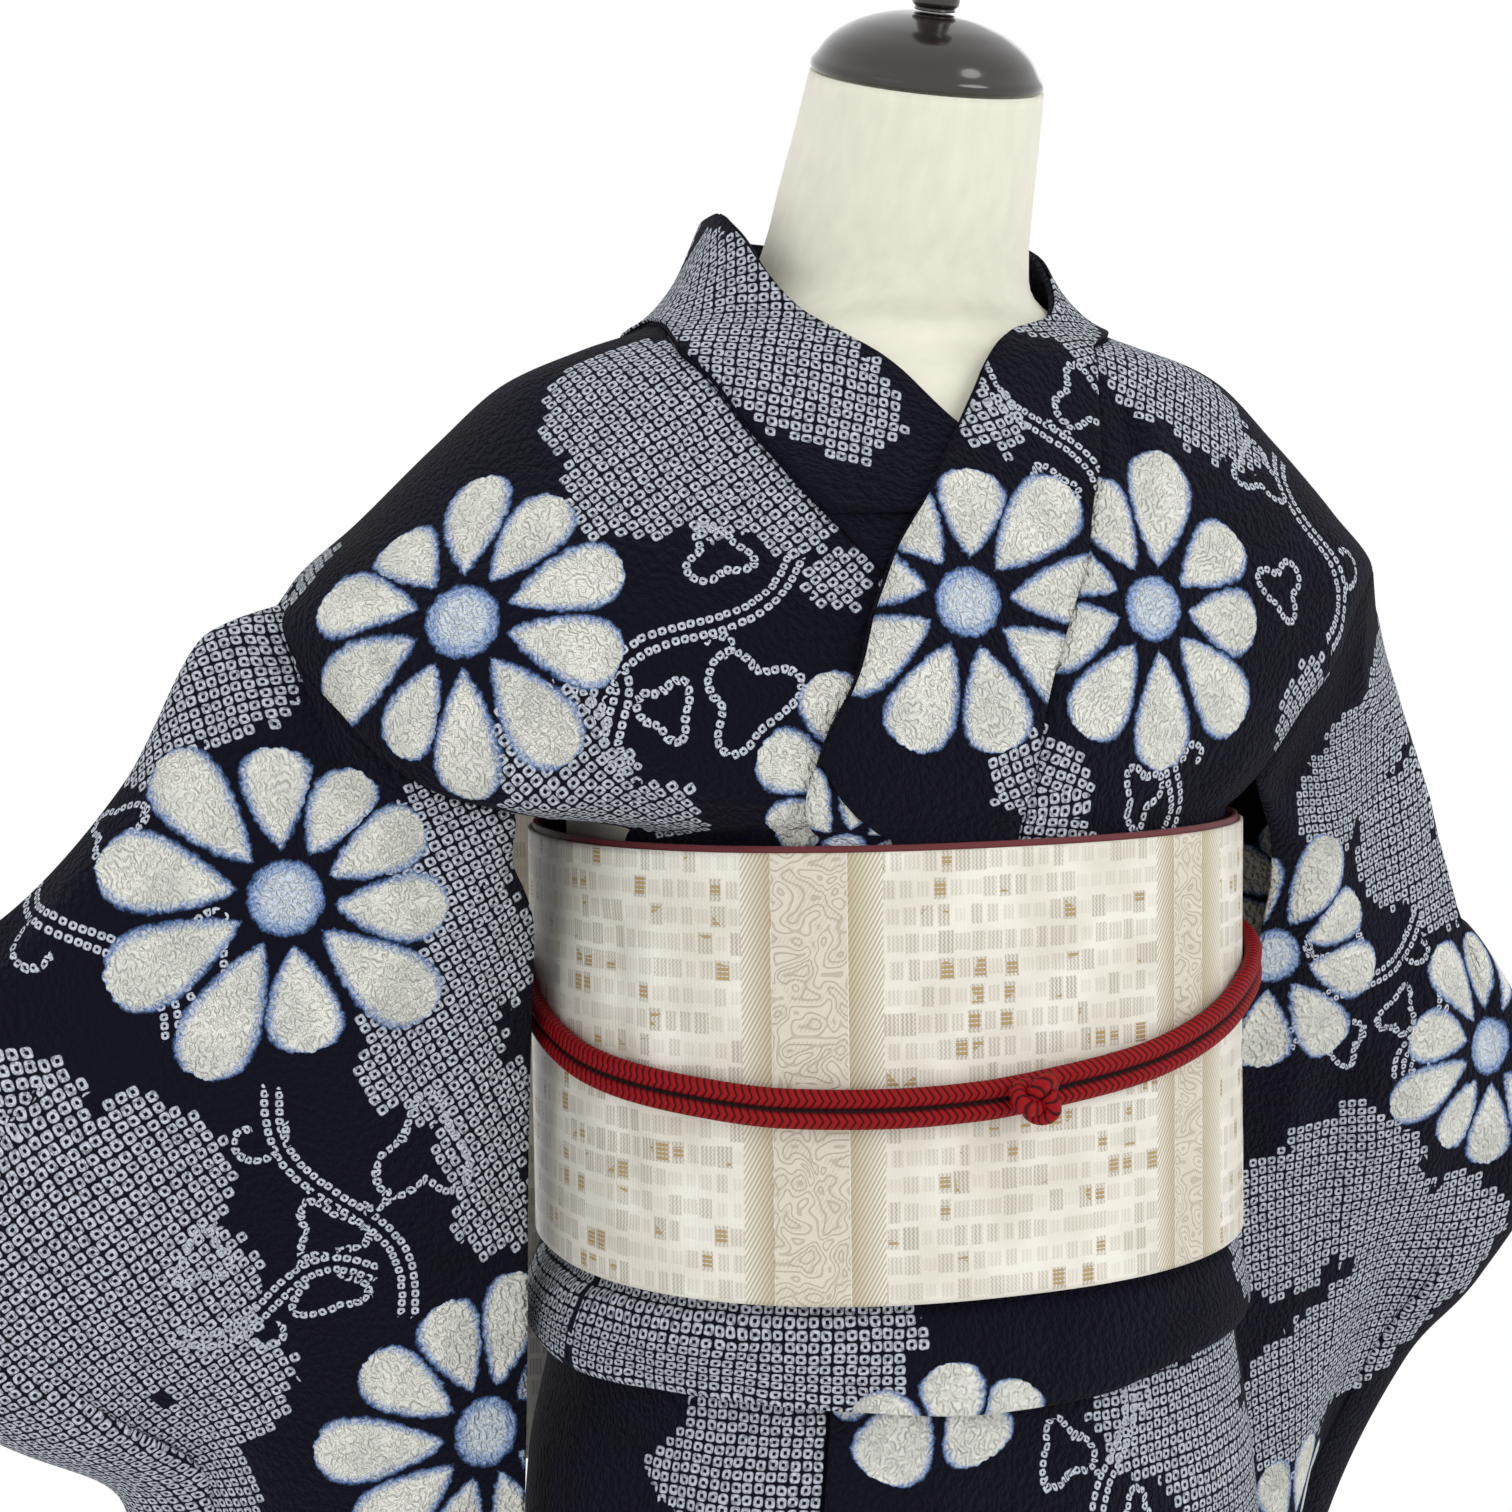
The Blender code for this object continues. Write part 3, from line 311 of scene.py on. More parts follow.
# Print maps of a grid's faces: local place in the nearest flower, in the nearest cloud ring, and
# along and across the nearest vine line; each face takes one motif for all of its corners
def printMaps(grid, cloth, outward, flowers=(), clouds=(), vines=()):
    normals = gridNormals(grid) * outward
    corner = np.stack([cloth[:-1, :-1], cloth[:-1, 1:], cloth[1:, 1:], cloth[1:, :-1]], 2)
    corner = corner.reshape(-1, 4, 2)
    middle = corner.mean(1)
    count = len(middle)
    best = np.full(count, 1e9)
    flower = np.full((count, 4, 2), 9.0)
    petals = np.full(count, 9.0)
    seed = np.zeros(count)
    for k, (x, z, radius, turn, number, face) in enumerate(flowers):
        # a flower past the cloth's edge keeps its distance from that edge
        row, column = placeOn(grid, normals, x, z, face)
        centre = cloth[row, column]
        missing = grid[row, column, 2] - z
        if abs(missing) > 0.004 and row > 2:
            along = cloth[row, column] - cloth[row - 3, column]
            centre = centre + along / np.linalg.norm(along) * missing
        away = np.linalg.norm(middle - centre, axis=1) / radius
        near = away < best
        best[near] = away[near]
        flower[near] = spin((corner[near] - centre) / radius, np.radians(turn))
        petals[near] = number
        seed[near] = (k * 0.37 + x * 3.1) % 1.0
    best = np.full(count, 1e9)
    cloud = np.full((count, 4, 2), 9.0)
    reach = np.full(count, 0.01)
    for x, z, radius, face in clouds:
        centre = cloth[placeOn(grid, normals, x, z, face)]
        away = np.linalg.norm(middle - centre, axis=1) - radius
        near = away < best
        best[near] = away[near]
        cloud[near] = corner[near] - centre
        reach[near] = radius
    best = np.full(count, 0.007)
    vine = np.full((count, 4, 2), 9.0)
    double = np.zeros(count)
    for x, z, size, turn, kind, face in vines:
        centre = cloth[placeOn(grid, normals, x, z, face)]
        around = np.flatnonzero(np.linalg.norm(middle - centre, axis=1) < size * 1.5)
        if len(around) == 0:
            continue
        for line, pair in vineCurves(kind):
            line = spin(line * size, np.radians(turn)) + centre
            run = runLength(line)
            tangent = np.gradient(line, axis=0)
            tangent /= np.linalg.norm(tangent, axis=1, keepdims=True)
            gap = np.linalg.norm(middle[around][:, None] - line[None], axis=2)
            nearest = gap.argmin(1)
            away = gap[np.arange(len(around)), nearest] - pair * motif["vineHalf"]
            take = away < best[around]
            take &= (nearest > 0) & (nearest < len(line) - 1)
            chosen = around[take]
            if len(chosen) == 0:
                continue
            best[chosen] = away[take]
            window = np.arange(-motif["window"], motif["window"] + 1)
            index = np.clip(nearest[take][:, None] + window, 0, len(line) - 1)
            span = np.linalg.norm(corner[chosen][:, :, None] - line[index][:, None], axis=3)
            pick = np.take_along_axis(np.repeat(index[:, None], 4, 1), span.argmin(2)[..., None], 2)[..., 0]
            offset = corner[chosen] - line[pick]
            along = (offset * tangent[pick]).sum(-1) + run[pick]
            across = offset[..., 1] * tangent[pick][..., 0] - offset[..., 0] * tangent[pick][..., 1]
            vine[chosen] = np.stack([along, across], -1)
            double[chosen] = pair
    return dict(cloth=corner, flower=flower, petals=petals, seed=seed, cloud=cloud, reach=reach,
                vine=vine, double=double)


# Joins the print maps of several sheets of one piece
def joinMaps(*maps):
    return {key: np.concatenate([m[key] for m in maps]) for key in maps[0]}


def gridIndex(grid):
    return np.arange(grid.shape[0] * grid.shape[1]).reshape(grid.shape[:2])


# Corner values of a grid's quads, in the order of their points
def quads(values):
    order = (values[:-1, :-1], values[:-1, 1:], values[1:, 1:], values[1:, :-1])
    made = np.stack(order, 2)
    return made.reshape(-1, 4, *values.shape[2:])


# Quads and their maps read the other way round, so that they face the other way
def turned(faces, maps):
    order = [0, 3, 2, 1]
    return faces[:, order], {key: m[:, order] if m.ndim == 3 else m for key, m in maps.items()}


# Mesh from quads, with its maps on the corners and faces, and a wall to the outside
def makePiece(name, points, faces, material, maps, outward, wall, replaced):
    if outward < 0:
        faces, maps = turned(faces, maps)
    mesh = bpy.data.meshes.new(name)
    mesh.vertices.add(len(points))
    mesh.vertices.foreach_set("co", np.ascontiguousarray(points, dtype=np.float32).ravel())
    mesh.loops.add(faces.size)
    mesh.loops.foreach_set("vertex_index", faces.astype(np.int32).ravel())
    mesh.polygons.add(len(faces))
    sides = faces.shape[1]
    mesh.polygons.foreach_set("loop_start", np.arange(0, faces.size, sides, dtype=np.int32))
    mesh.polygons.foreach_set("loop_total", np.full(len(faces), sides, dtype=np.int32))
    mesh.polygons.foreach_set("use_smooth", np.ones(len(faces), dtype=bool))
    mesh.update(calc_edges=True)
    for key, values in maps.items():
        if values.ndim == 3:
            layerMap = mesh.uv_layers.new(name=key)
            layerMap.data.foreach_set("uv", values.astype(np.float32).ravel())
        else:
            value = mesh.attributes.new(key, "FLOAT", "FACE")
            value.data.foreach_set("value", values.astype(np.float32))
    mesh.materials.append(material)
    piece = bpy.data.objects.new(name, mesh)
    bpy.context.scene.collection.objects.link(piece)
    if wall:
        shell = piece.modifiers.new("wall", "SOLIDIFY")
        shell.thickness = wall
        shell.offset = 1.0
        shell.use_rim = True
    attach(piece, "root")
    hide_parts(*replaced)
    return piece


# Area of a grid: the sum of its quads' cross products
def gridArea(grid):
    across = grid[:-1, 1:] - grid[:-1, :-1]
    down = grid[1:, :-1] - grid[:-1, :-1]
    return float(np.linalg.norm(np.cross(across, down), axis=-1).sum())


# Sums the areas of a cloth's sheets; the sum is not used
def declareCloth(grids):
    area = sum(gridArea(grid) for grid in grids)


# Rounds the smaller of a grid's area and the area of its given flat cut; the result is not used
def declareCut(grid, flat):
    round(min(gridArea(grid), flat[0] * flat[1]), 4)


# Which way the normals of an open grid have to be read to point away from the pole
def outwardSign(grid):
    normal = gridNormals(grid)
    return 1 if (normal[..., :2] * grid[..., :2]).sum() > 0 else -1


# Points of a stack of rows, at count steps between each two: Catmull-Rom
def spline(rows, count):
    rows = np.asarray(rows, float)
    at = np.arange((len(rows) - 1) * count + 1) / count
    i = np.minimum(at.astype(int), len(rows) - 2)
    t = (at - i).reshape((-1,) + (1,) * (rows.ndim - 1))
    before = rows[np.maximum(i - 1, 0)]
    after = rows[np.minimum(i + 2, len(rows) - 1)]
    a, b = rows[i], rows[i + 1]
    return a + 0.5 * t * (b - before + t * (2 * before - 5 * a + 4 * b - after
                                            + t * (3 * (a - b) + after - before)))


# One shader socket with arithmetic: every operator adds a Math node
class Num:
    def __init__(self, paint, socket):
        self.paint = paint
        self.socket = socket

    def do(self, kind, *others):
        values = {0: self.socket}
        for k, other in enumerate(others):
            values[k + 1] = other.socket if isinstance(other, Num) else other
        made = self.paint.node("ShaderNodeMath", dict(operation=kind), values)
        return Num(self.paint, made.outputs[0])

    def back(self, kind, other):
        made = self.paint.node("ShaderNodeMath", dict(operation=kind), {0: other, 1: self.socket})
        return Num(self.paint, made.outputs[0])

    def __add__(self, other):
        return self.do("ADD", other)

    __radd__ = __add__

    def __sub__(self, other):
        return self.do("SUBTRACT", other)

    def __rsub__(self, other):
        return self.back("SUBTRACT", other)

    def __mul__(self, other):
        return self.do("MULTIPLY", other)

    __rmul__ = __mul__

    def __truediv__(self, other):
        return self.do("DIVIDE", other)

    def __pow__(self, other):
        return self.do("POWER", other)

    def __abs__(self):
        return self.do("ABSOLUTE")

    # Sine wave of a given length
    def wave(self, length):
        return (self * (2 * np.pi / length)).do("SINE")

    # Smooth step between two limits
    def step(self, low, high):
        made = self.paint.node("ShaderNodeMapRange", dict(interpolation_type="SMOOTHSTEP", clamp=True),
                               {0: self.socket, 1: low, 2: high, 3: 0.0, 4: 1.0})
        return Num(self.paint, made.outputs[0])


# One material: node() is the only way in, for any node by type, settings and socket values
class Paint:
    def __init__(self, name):
        self.material = bpy.data.materials.new(name)
        self.material.use_nodes = True
        self.tree = self.material.node_tree
        self.shader = self.tree.nodes["Principled BSDF"]

    def node(self, kind, settings=None, values=None):
        made = self.tree.nodes.new(kind)
        for key, value in (settings or {}).items():
            setattr(made, key, value)
        for key, value in (values or {}).items():
            self.put(made.inputs[key], value)
        return made

    def put(self, socket, value):
        if isinstance(value, Num):
            value = value.socket
        if isinstance(value, bpy.types.NodeSocket):
            self.tree.links.new(value, socket)
        elif isinstance(value, (tuple, list)) and len(value) == 3 and socket.type == "RGBA":
            socket.default_value = (*value, 1.0)
        else:
            socket.default_value = value

    def uv(self, name):
        return self.node("ShaderNodeUVMap", dict(uv_map=name)).outputs[0]

    def parts(self, vector):
        made = self.node("ShaderNodeSeparateXYZ", None, {0: vector})
        return [Num(self, made.outputs[k]) for k in range(3)]

    def vector(self, x, y, z=0.0):
        return self.node("ShaderNodeCombineXYZ", None, {0: x, 1: y, 2: z}).outputs[0]

    def face(self, name):
        return Num(self, self.node("ShaderNodeAttribute", dict(attribute_name=name)).outputs["Fac"])

    def noise(self, vector, scale, detail=2.0, rough=0.5):
        made = self.node("ShaderNodeTexNoise", None,
                         {"Vector": vector, "Scale": scale, "Detail": detail, "Roughness": rough})
        return Num(self, made.outputs[0])

    def chance(self, vector):
        made = self.node("ShaderNodeTexWhiteNoise", dict(noise_dimensions="2D"), {"Vector": vector})
        return Num(self, made.outputs["Value"])

    def mix(self, amount, first, second):
        made = self.node("ShaderNodeMix", dict(data_type="RGBA"), {0: amount, 6: first, 7: second})
        return made.outputs[2]

    def bump(self, height, distance):
        values = {"Strength": 1.0, "Distance": distance, "Height": height}
        return self.node("ShaderNodeBump", None, values).outputs[0]

    def finish(self, **values):
        for key, value in values.items():
            self.put(self.shader.inputs[key], value)
        return self.material


# Colour as the screen shows it, to the linear values that a shader takes
def shade(red, green, blue):
    screen = np.array((red, green, blue)) / 255.0
    linear = np.where(screen <= 0.04045, screen / 12.92, ((screen + 0.055) / 1.055) ** 2.4)
    return tuple(float(v) for v in linear)


cotton = dict(ground=shade(7, 7, 21), deep=shade(14, 13, 34), petal=shade(240, 240, 230),
              petalShade=shade(222, 223, 214), rim=shade(104, 142, 204), disc=shade(196, 212, 230),
              dye=shade(208, 214, 226), pucker=0.0022, rough=0.9, sheen=0.015, gloss=0.12,
              thread=0.0009, drift=0.0022, ragged=0.045)


# Indigo crepe cotton: petals by polar coordinates, tied squares by snapping to cells, vine rings
# by cells along their line, and small upright puckers as bump
def printedCotton():
    p = Paint("printed_cotton")
    cloth = p.uv("cloth")
    u, v, _ = p.parts(cloth)
    wobble = p.noise(cloth, 330.0, 2.0)
    slow = p.noise(cloth, 55.0, 1.0)

    # tied squares: cells moved a little by slow noise
    cell = motif["cell"]
    cu = (u + (slow - 0.5) * cotton["drift"]) / cell
    cv = (v + (p.noise(cloth, 47.0, 1.0) - 0.5) * cotton["drift"]) / cell
    iu = cu.do("FLOOR")
    iv = cv.do("FLOOR")
    fu = cu - iu - 0.5
    fv = cv - iv - 0.5
    which = p.chance(p.vector(iu, iv))
    other = p.chance(p.vector(iv + 7.3, iu - 3.1))
    gx, gy, _ = p.parts(p.uv("cloud"))
    gx = gx - fu * cell
    gy = gy - fv * cell
    away = (gx * gx + gy * gy) ** 0.5
    lobes = p.noise(p.vector(gx + p.face("reach") * 40.0, gy), 42.0, 1.0)
    edge = p.face("reach") * (0.72 + lobes * 0.62) - away + (which - 0.5) * 0.0045
    inCloud = edge.do("GREATER_THAN", 0.0)
    fu = fu + (which - 0.5) * 0.12 + (wobble - 0.5) * 0.16
    fv = fv + (other - 0.5) * 0.12 + (wobble - 0.5) * -0.16
    square = (abs(fu) ** 3.4 + abs(fv) ** 3.4) ** (1 / 3.4)
    ring = square.step(0.46, 0.39) * square.step(0.12, 0.19)
    broken = p.noise(cloth, 620.0, 0.0).step(0.30, 0.46)
    dots = inCloud * ring * (broken * 0.5 + 0.5)

    # vine rings
    along, across, _ = p.parts(p.uv("vine"))
    pair = p.face("double")
    row = abs(across) - motif["vineHalf"]
    side = pair * row + (1 - pair) * across
    step = motif["vineStep"]
    ia = (along / step).do("FLOOR")
    fa = along / step - ia - 0.5
    fb = side / step
    spare = p.chance(p.vector(ia, across.do("SIGN")))
    fa = fa + (spare - 0.5) * 0.18 + (wobble - 0.5) * 0.14
    fb = fb + (spare - 0.5) * 0.14
    bead = (abs(fa) ** 3.0 + abs(fb) ** 3.0) ** (1 / 3.0)
    beads = bead.step(0.45, 0.37) * bead.step(0.11, 0.18)

    # flowers
    fx, fy, _ = p.parts(p.uv("flower"))
    fx = fx + (wobble - 0.5) * cotton["ragged"]
    fy = fy + (p.noise(cloth, 290.0, 2.0) - 0.5) * cotton["ragged"]
    radius = (fx * fx + fy * fy) ** 0.5
    number = p.face("petals")
    seed = p.face("seed")
    turn = fy.do("ARCTAN2", fx) / (2 * np.pi) + 0.5
    sector = turn * number + seed
    index = sector.do("FLOOR")
    chance = p.chance(p.vector(index.do("MODULO", number), seed * 31.0))
    swing = (sector - index - 0.5 + (chance - 0.5) * 0.10) * (2 * np.pi) / number
    out = radius * swing.do("COSINE")
    aside = abs(radius * swing.do("SINE"))
    length = 0.72 + chance * 0.28
    t = ((out - 0.25) / (length - 0.25)).do("MAXIMUM", 0.0).do("MINIMUM", 1.0)
    width = (t ** 0.72) * ((1 - t ** 3.4) ** 0.5) * (0.302 + chance * 0.03) * 9.0 / number
    inside = width - aside
    petal = inside.step(0.0, 0.022)
    petalRim = inside.step(-0.012, 0.006) * inside.step(0.060, 0.018) * (length - out).step(-0.004, 0.004)
    petalRim = petalRim * (out - 0.235).step(0.0, 0.01)
    disc = (0.185 - radius).step(0.0, 0.02)
    discRim = (0.200 - radius).step(0.0, 0.02) * (radius - 0.125).step(-0.02, 0.03)
    speck = p.noise(cloth, 900.0, 1.0).step(0.42, 0.60)

    patchy = p.noise(cloth, 26.0, 2.0)
    colour = p.mix(patchy, cotton["ground"], cotton["deep"])
    colour = p.mix(dots, colour, cotton["dye"])
    colour = p.mix(beads, colour, cotton["dye"])
    clear = radius.step(1.06, 1.00) * (1 - radius.step(1.03, 1.08))
    colour = p.mix(clear * petal, colour, p.mix(slow.step(0.3, 0.7), cotton["petalShade"], cotton["petal"]))
    colour = p.mix(clear * petalRim * (0.35 + speck * 0.5), colour, cotton["rim"])
    colour = p.mix(disc, colour, p.mix(speck * 0.6, cotton["disc"], cotton["petal"]))
    colour = p.mix(discRim * (0.35 + speck * 0.55), colour, cotton["rim"])

    # puckers run up the cloth, short and wavy
    crepe = p.noise(p.vector(u + (slow - 0.5) * 0.006, v * 0.7), 460.0, 1.0, 0.5)
    thread = u.wave(cotton["thread"]) * v.wave(cotton["thread"])
    height = crepe.step(0.30, 0.68) + thread * 0.06 + ring * inCloud * 0.35
    rough = cotton["rough"] + (crepe - 0.5) * 0.08
    return p.finish(**{"Base Color": colour, "Roughness": rough, "Sheen Weight": cotton["sheen"],
                       "Sheen Roughness": 0.5, "Specular IOR Level": cotton["gloss"],
                       "Normal": p.bump(height, cotton["pucker"])})


cottonPaint = printedCotton()
print("printed cotton ready")


# Printed cotton on one open grid, named for its CAD node
def cottonSheet(node, grid, cloth, outward, prints, wall):
    return makePiece("robe_" + node, grid.reshape(-1, 3), quads(gridIndex(grid)), cottonPaint,
                     printMaps(grid, cloth, outward, **prints), outward, wall, [node])


# Body panels over the shoulders
bodice = dict(cols=58, split=9, cuts=np.array((0.0, 0.07, 0.14, 0.22, 0.30, 0.38, 0.46, 0.54, 0.62, 0.71,
                                              0.80, 0.88, 0.94, 1.0)), roundBack=4)


# Angle and ring along a seam: the rows of its table stand at the places of its kind
def seamLine(seam, kind, at):
    table = np.array(seams[seam], float)
    return curve(seams[kind], table[:, 0], at), curve(seams[kind], table[:, 1], at)


# The left front lies over the right front and its doubled collar: a product of two smooth steps
def leftLift(angle, ring):
    side = smooth((78.0 - angle) / 45.0)
    low = smooth((18.6 - ring) / 1.6)
    return layer["first"] + (layer["rise"] - layer["first"]) * side * low


def backNeck(part):
    return 90.0 + 90.0 * part, 18.2 + 0.8 * (1.0 - part) ** 2


# Body panel: angle and ring run evenly from the collar seam to the armhole edge; the rows go up
# the front from the sash and down the back
def bodiceGrid(side, cols, finer):
    hand = "Left" if side > 0 else "Right"
    fade = np.linspace(0.0, 1.0, cols)[None, :]
    along = split(bodice["cuts"], finer)
    outAngle, outRing = seamLine("armhole" + hand, "armholeAt", along)
    inAngle, inRing = seamLine("neck" + hand, "neckAt", along)
    frontAngle = (inAngle[:, None] * side + 0.06 * side) * (1 - fade) + outAngle[:, None] * fade
    frontRing = inRing[:, None] * (1 - fade) + outRing[:, None] * fade
    first = bodice["roundBack"] * finer
    neckAngle, neckRing = backNeck(np.linspace(0.0, 1.0, first + 1))
    down = (along[first:] - along[first]) / (1.0 - along[first])
    backAngle = np.concatenate([neckAngle[:-1], 180.0 + 0.0 * down]) - 0.08
    backAngle[0] = 90.0
    backRing = np.concatenate([neckRing[:-1], neckRing[-1] + (layer["bodiceEnd"] - neckRing[-1]) * down])
    backOut = 180.0 * side - outAngle
    rearAngle = backAngle[:, None] * side * (1 - fade) + backOut[:, None] * fade
    rearRing = backRing[:, None] * (1 - fade) + outRing[:, None] * fade
    angle = np.concatenate([frontAngle[::-1], rearAngle[1:]])
    ring = np.concatenate([frontRing[::-1], rearRing[1:]])
    off = leftLift(angle, ring) if side > 0 else np.full_like(angle, layer["first"])
    return onBody(angle, ring, off)


# Folds on the panels: x and z of both ends, width, height (minus is a trough)
bodiceFolds = dict(
    right=((-0.215, 1.150, -0.150, 1.128, 0.012, 0.004), (-0.165, 1.150, -0.120, 1.124, 0.007, -0.0022),
           (-0.150, 1.160, -0.085, 1.124, 0.006, 0.0016), (-0.215, 1.195, -0.165, 1.145, 0.012, 0.0022),
           (-0.105, 1.255, -0.060, 1.185, 0.010, -0.0014)),
    left=((0.062, 1.268, 0.060, 1.215, 0.006, -0.0022), (0.072, 1.262, 0.071, 1.215, 0.006, 0.0016),
          (0.150, 1.180, 0.090, 1.128, 0.010, 0.0022), (0.135, 1.165, 0.075, 1.124, 0.007, -0.0018),
          (0.160, 1.215, 0.140, 1.160, 0.012, 0.0020)))
bodicePrint = dict(
    right=dict(
        flowers=((-0.185, 1.192, 0.067, 20, 10, -1), (-0.048, 1.130, 0.056, 12, 9, -1),
                 (-0.10, 1.22, 0.060, 15, 9, 1), (-0.17, 1.14, 0.055, 40, 10, 1)),
        clouds=((-0.117, 1.268, 0.035, -1), (-0.096, 1.245, 0.032, -1), (-0.126, 1.240, 0.026, -1),
                (-0.073, 1.224, 0.017, -1), (-0.058, 1.205, 0.013, -1), (-0.230, 1.205, 0.020, -1),
                (-0.160, 1.150, 0.020, -1), (-0.150, 1.130, 0.024, -1), (-0.124, 1.124, 0.021, -1),
                (-0.05, 1.25, 0.036, 1), (-0.03, 1.21, 0.030, 1), (-0.05, 1.15, 0.036, 1)),
        vines=((-0.110, 1.186, 0.044, 5, 0, -1), (-0.136, 1.160, 0.028, 75, 2, -1),
               (-0.14, 1.18, 0.045, 60, 1, 1))),
    left=dict(
        flowers=((0.057, 1.192, 0.062, 10, 9, -1), (0.10, 1.20, 0.060, 0, 10, 1)),
        clouds=((0.080, 1.283, 0.028, -1), (0.100, 1.268, 0.024, -1), (0.112, 1.250, 0.013, -1),
                (0.138, 1.150, 0.020, -1), (0.012, 1.130, 0.020, -1), (0.155, 1.135, 0.016, -1),
                (0.04, 1.15, 0.036, 1), (0.07, 1.25, 0.034, 1), (0.10, 1.14, 0.030, 1)),
        vines=((0.140, 1.215, 0.040, 70, 1, -1), (0.066, 1.128, 0.026, 80, 2, -1),
               (0.13, 1.24, 0.04, 40, 0, 1))))


for label, side in (("right", -1), ("left", 1)):
    grid = bodiceGrid(side, bodice["cols"], bodice["split"])
    outward = outwardSign(grid)
    cloth = clothMap(grid)
    grid = fold(grid, bodiceFolds[label], outward)
    piece = cottonSheet("bodice_" + label, grid, cloth, outward, bodicePrint[label], layer["cloth"])
    declareCloth([grid])
print("body panels ready")


# Collar: a band from the right front end (run -2) round the back neck (0) to the left front end (2)
collar = dict(rows=300, cols=14, overFrom=-1.54, overTo=1.80, overSlant=0.36, flat=(0.110, 0.98),
              overFlat=(0.110, 0.86))


def collarGrid(run, across, base):
    side = np.where(run > 0, 1.0, -1.0)
    along = np.clip(np.abs(run) - 1.0, 0.0, 1.0)
    behind = np.clip(1.0 - np.abs(run), 0.0, 1.0)
    lines = []
    for left, right in (("neckLeft", "neckRight"), ("edgeLeft", "edgeRight")):
        leftAngle, leftRing = seamLine(left, "neckAt", along)
        rightAngle, rightRing = seamLine(right, "neckAt", along)
        lines.append([np.where(side > 0, leftAngle, rightAngle), np.where(side > 0, leftRing, rightRing)])
    (seamAngle, seamRing), (edgeAngle, edgeRing) = lines
    backAngle, backRing = backNeck(behind)
    seamAngle = np.where(behind > 0, backAngle, seamAngle)
    seamRing = np.where(behind > 0, backRing, seamRing)
    edgeAngle = np.where(behind > 0, 90.0 + 90.0 * behind, edgeAngle)
    edgeRing = np.where(behind > 0, edgeRing + (21.0 - edgeRing) * smooth(behind, 0.0, 0.25), edgeRing)
    seamAngle = seamAngle - np.where(seamAngle < 90.0, 0.06, 0.0)
    seamRing = seamRing + np.where(seamRing > 17.0, 0.03, 0.0)
    angle = seamAngle * (1 - across) + edgeAngle * across
    ring = seamRing * (1 - across) + edgeRing * across
    off = base + np.where(side > 0, leftLift(angle, ring) - layer["first"], 0.0)
    return onBody(angle * side, ring, off)


collarPrint = dict(
    flowers=((-0.062, 1.112, 0.040, 0, 9, -1), (0.0, 1.30, 0.045, 0, 9, 1)),
    clouds=((-0.030, 1.262, 0.020, -1), (0.004, 1.118, 0.024, -1), (0.030, 1.275, 0.014, -1),
            (-0.050, 1.31, 0.020, 1), (0.05, 1.31, 0.020, 1)),
    vines=())
overPrint = dict(
    flowers=((-0.018, 1.196, 0.064, 5, 9, -1),),
    clouds=((-0.066, 1.282, 0.030, -1), (-0.074, 1.305, 0.034, -1), (-0.050, 1.266, 0.022, -1),
            (-0.088, 1.312, 0.030, -1), (0.012, 1.132, 0.017, -1), (0.006, 1.262, 0.013, -1),
            (0.048, 1.302, 0.024, -1), (0.056, 1.285, 0.012, -1), (-0.06, 1.33, 0.03, 1),
            (0.03, 1.33, 0.03, 1)),
    vines=((0.026, 1.255, 0.036, 80, 0, -1),))

run = np.linspace(-2.0, 2.0, collar["rows"])[:, None]
across = np.linspace(0.0, 1.0, collar["cols"])[None, :]
grid = collarGrid(run + 0 * across, across + 0 * run, layer["first"])
cloth = clothMap(grid, 45.0)
outward = outwardSign(grid)
piece = cottonSheet("collar", grid, cloth, outward, collarPrint, layer["band"])
declareCut(grid, collar["flat"])

# Over-collar: its left end is cut on a slant, so its rows fan out to that line
share = np.linspace(0.0, 1.0, collar["rows"])[:, None]
across = np.linspace(0.012, 0.988, collar["cols"])[None, :]
end = np.minimum(collar["overTo"] + collar["overSlant"] * (1 - across), 1.995)
run = collar["overFrom"] + (end - collar["overFrom"]) * share
grid = collarGrid(run, across + 0 * share, layer["first"] + layer["band"] + 0.0006)
cloth = clothMap(grid, 45.0)
outward = outwardSign(grid)
piece = cottonSheet("over_collar", grid, cloth, outward, overPrint, layer["skin"])
declareCut(grid, collar["overFlat"])
print("collar ready")

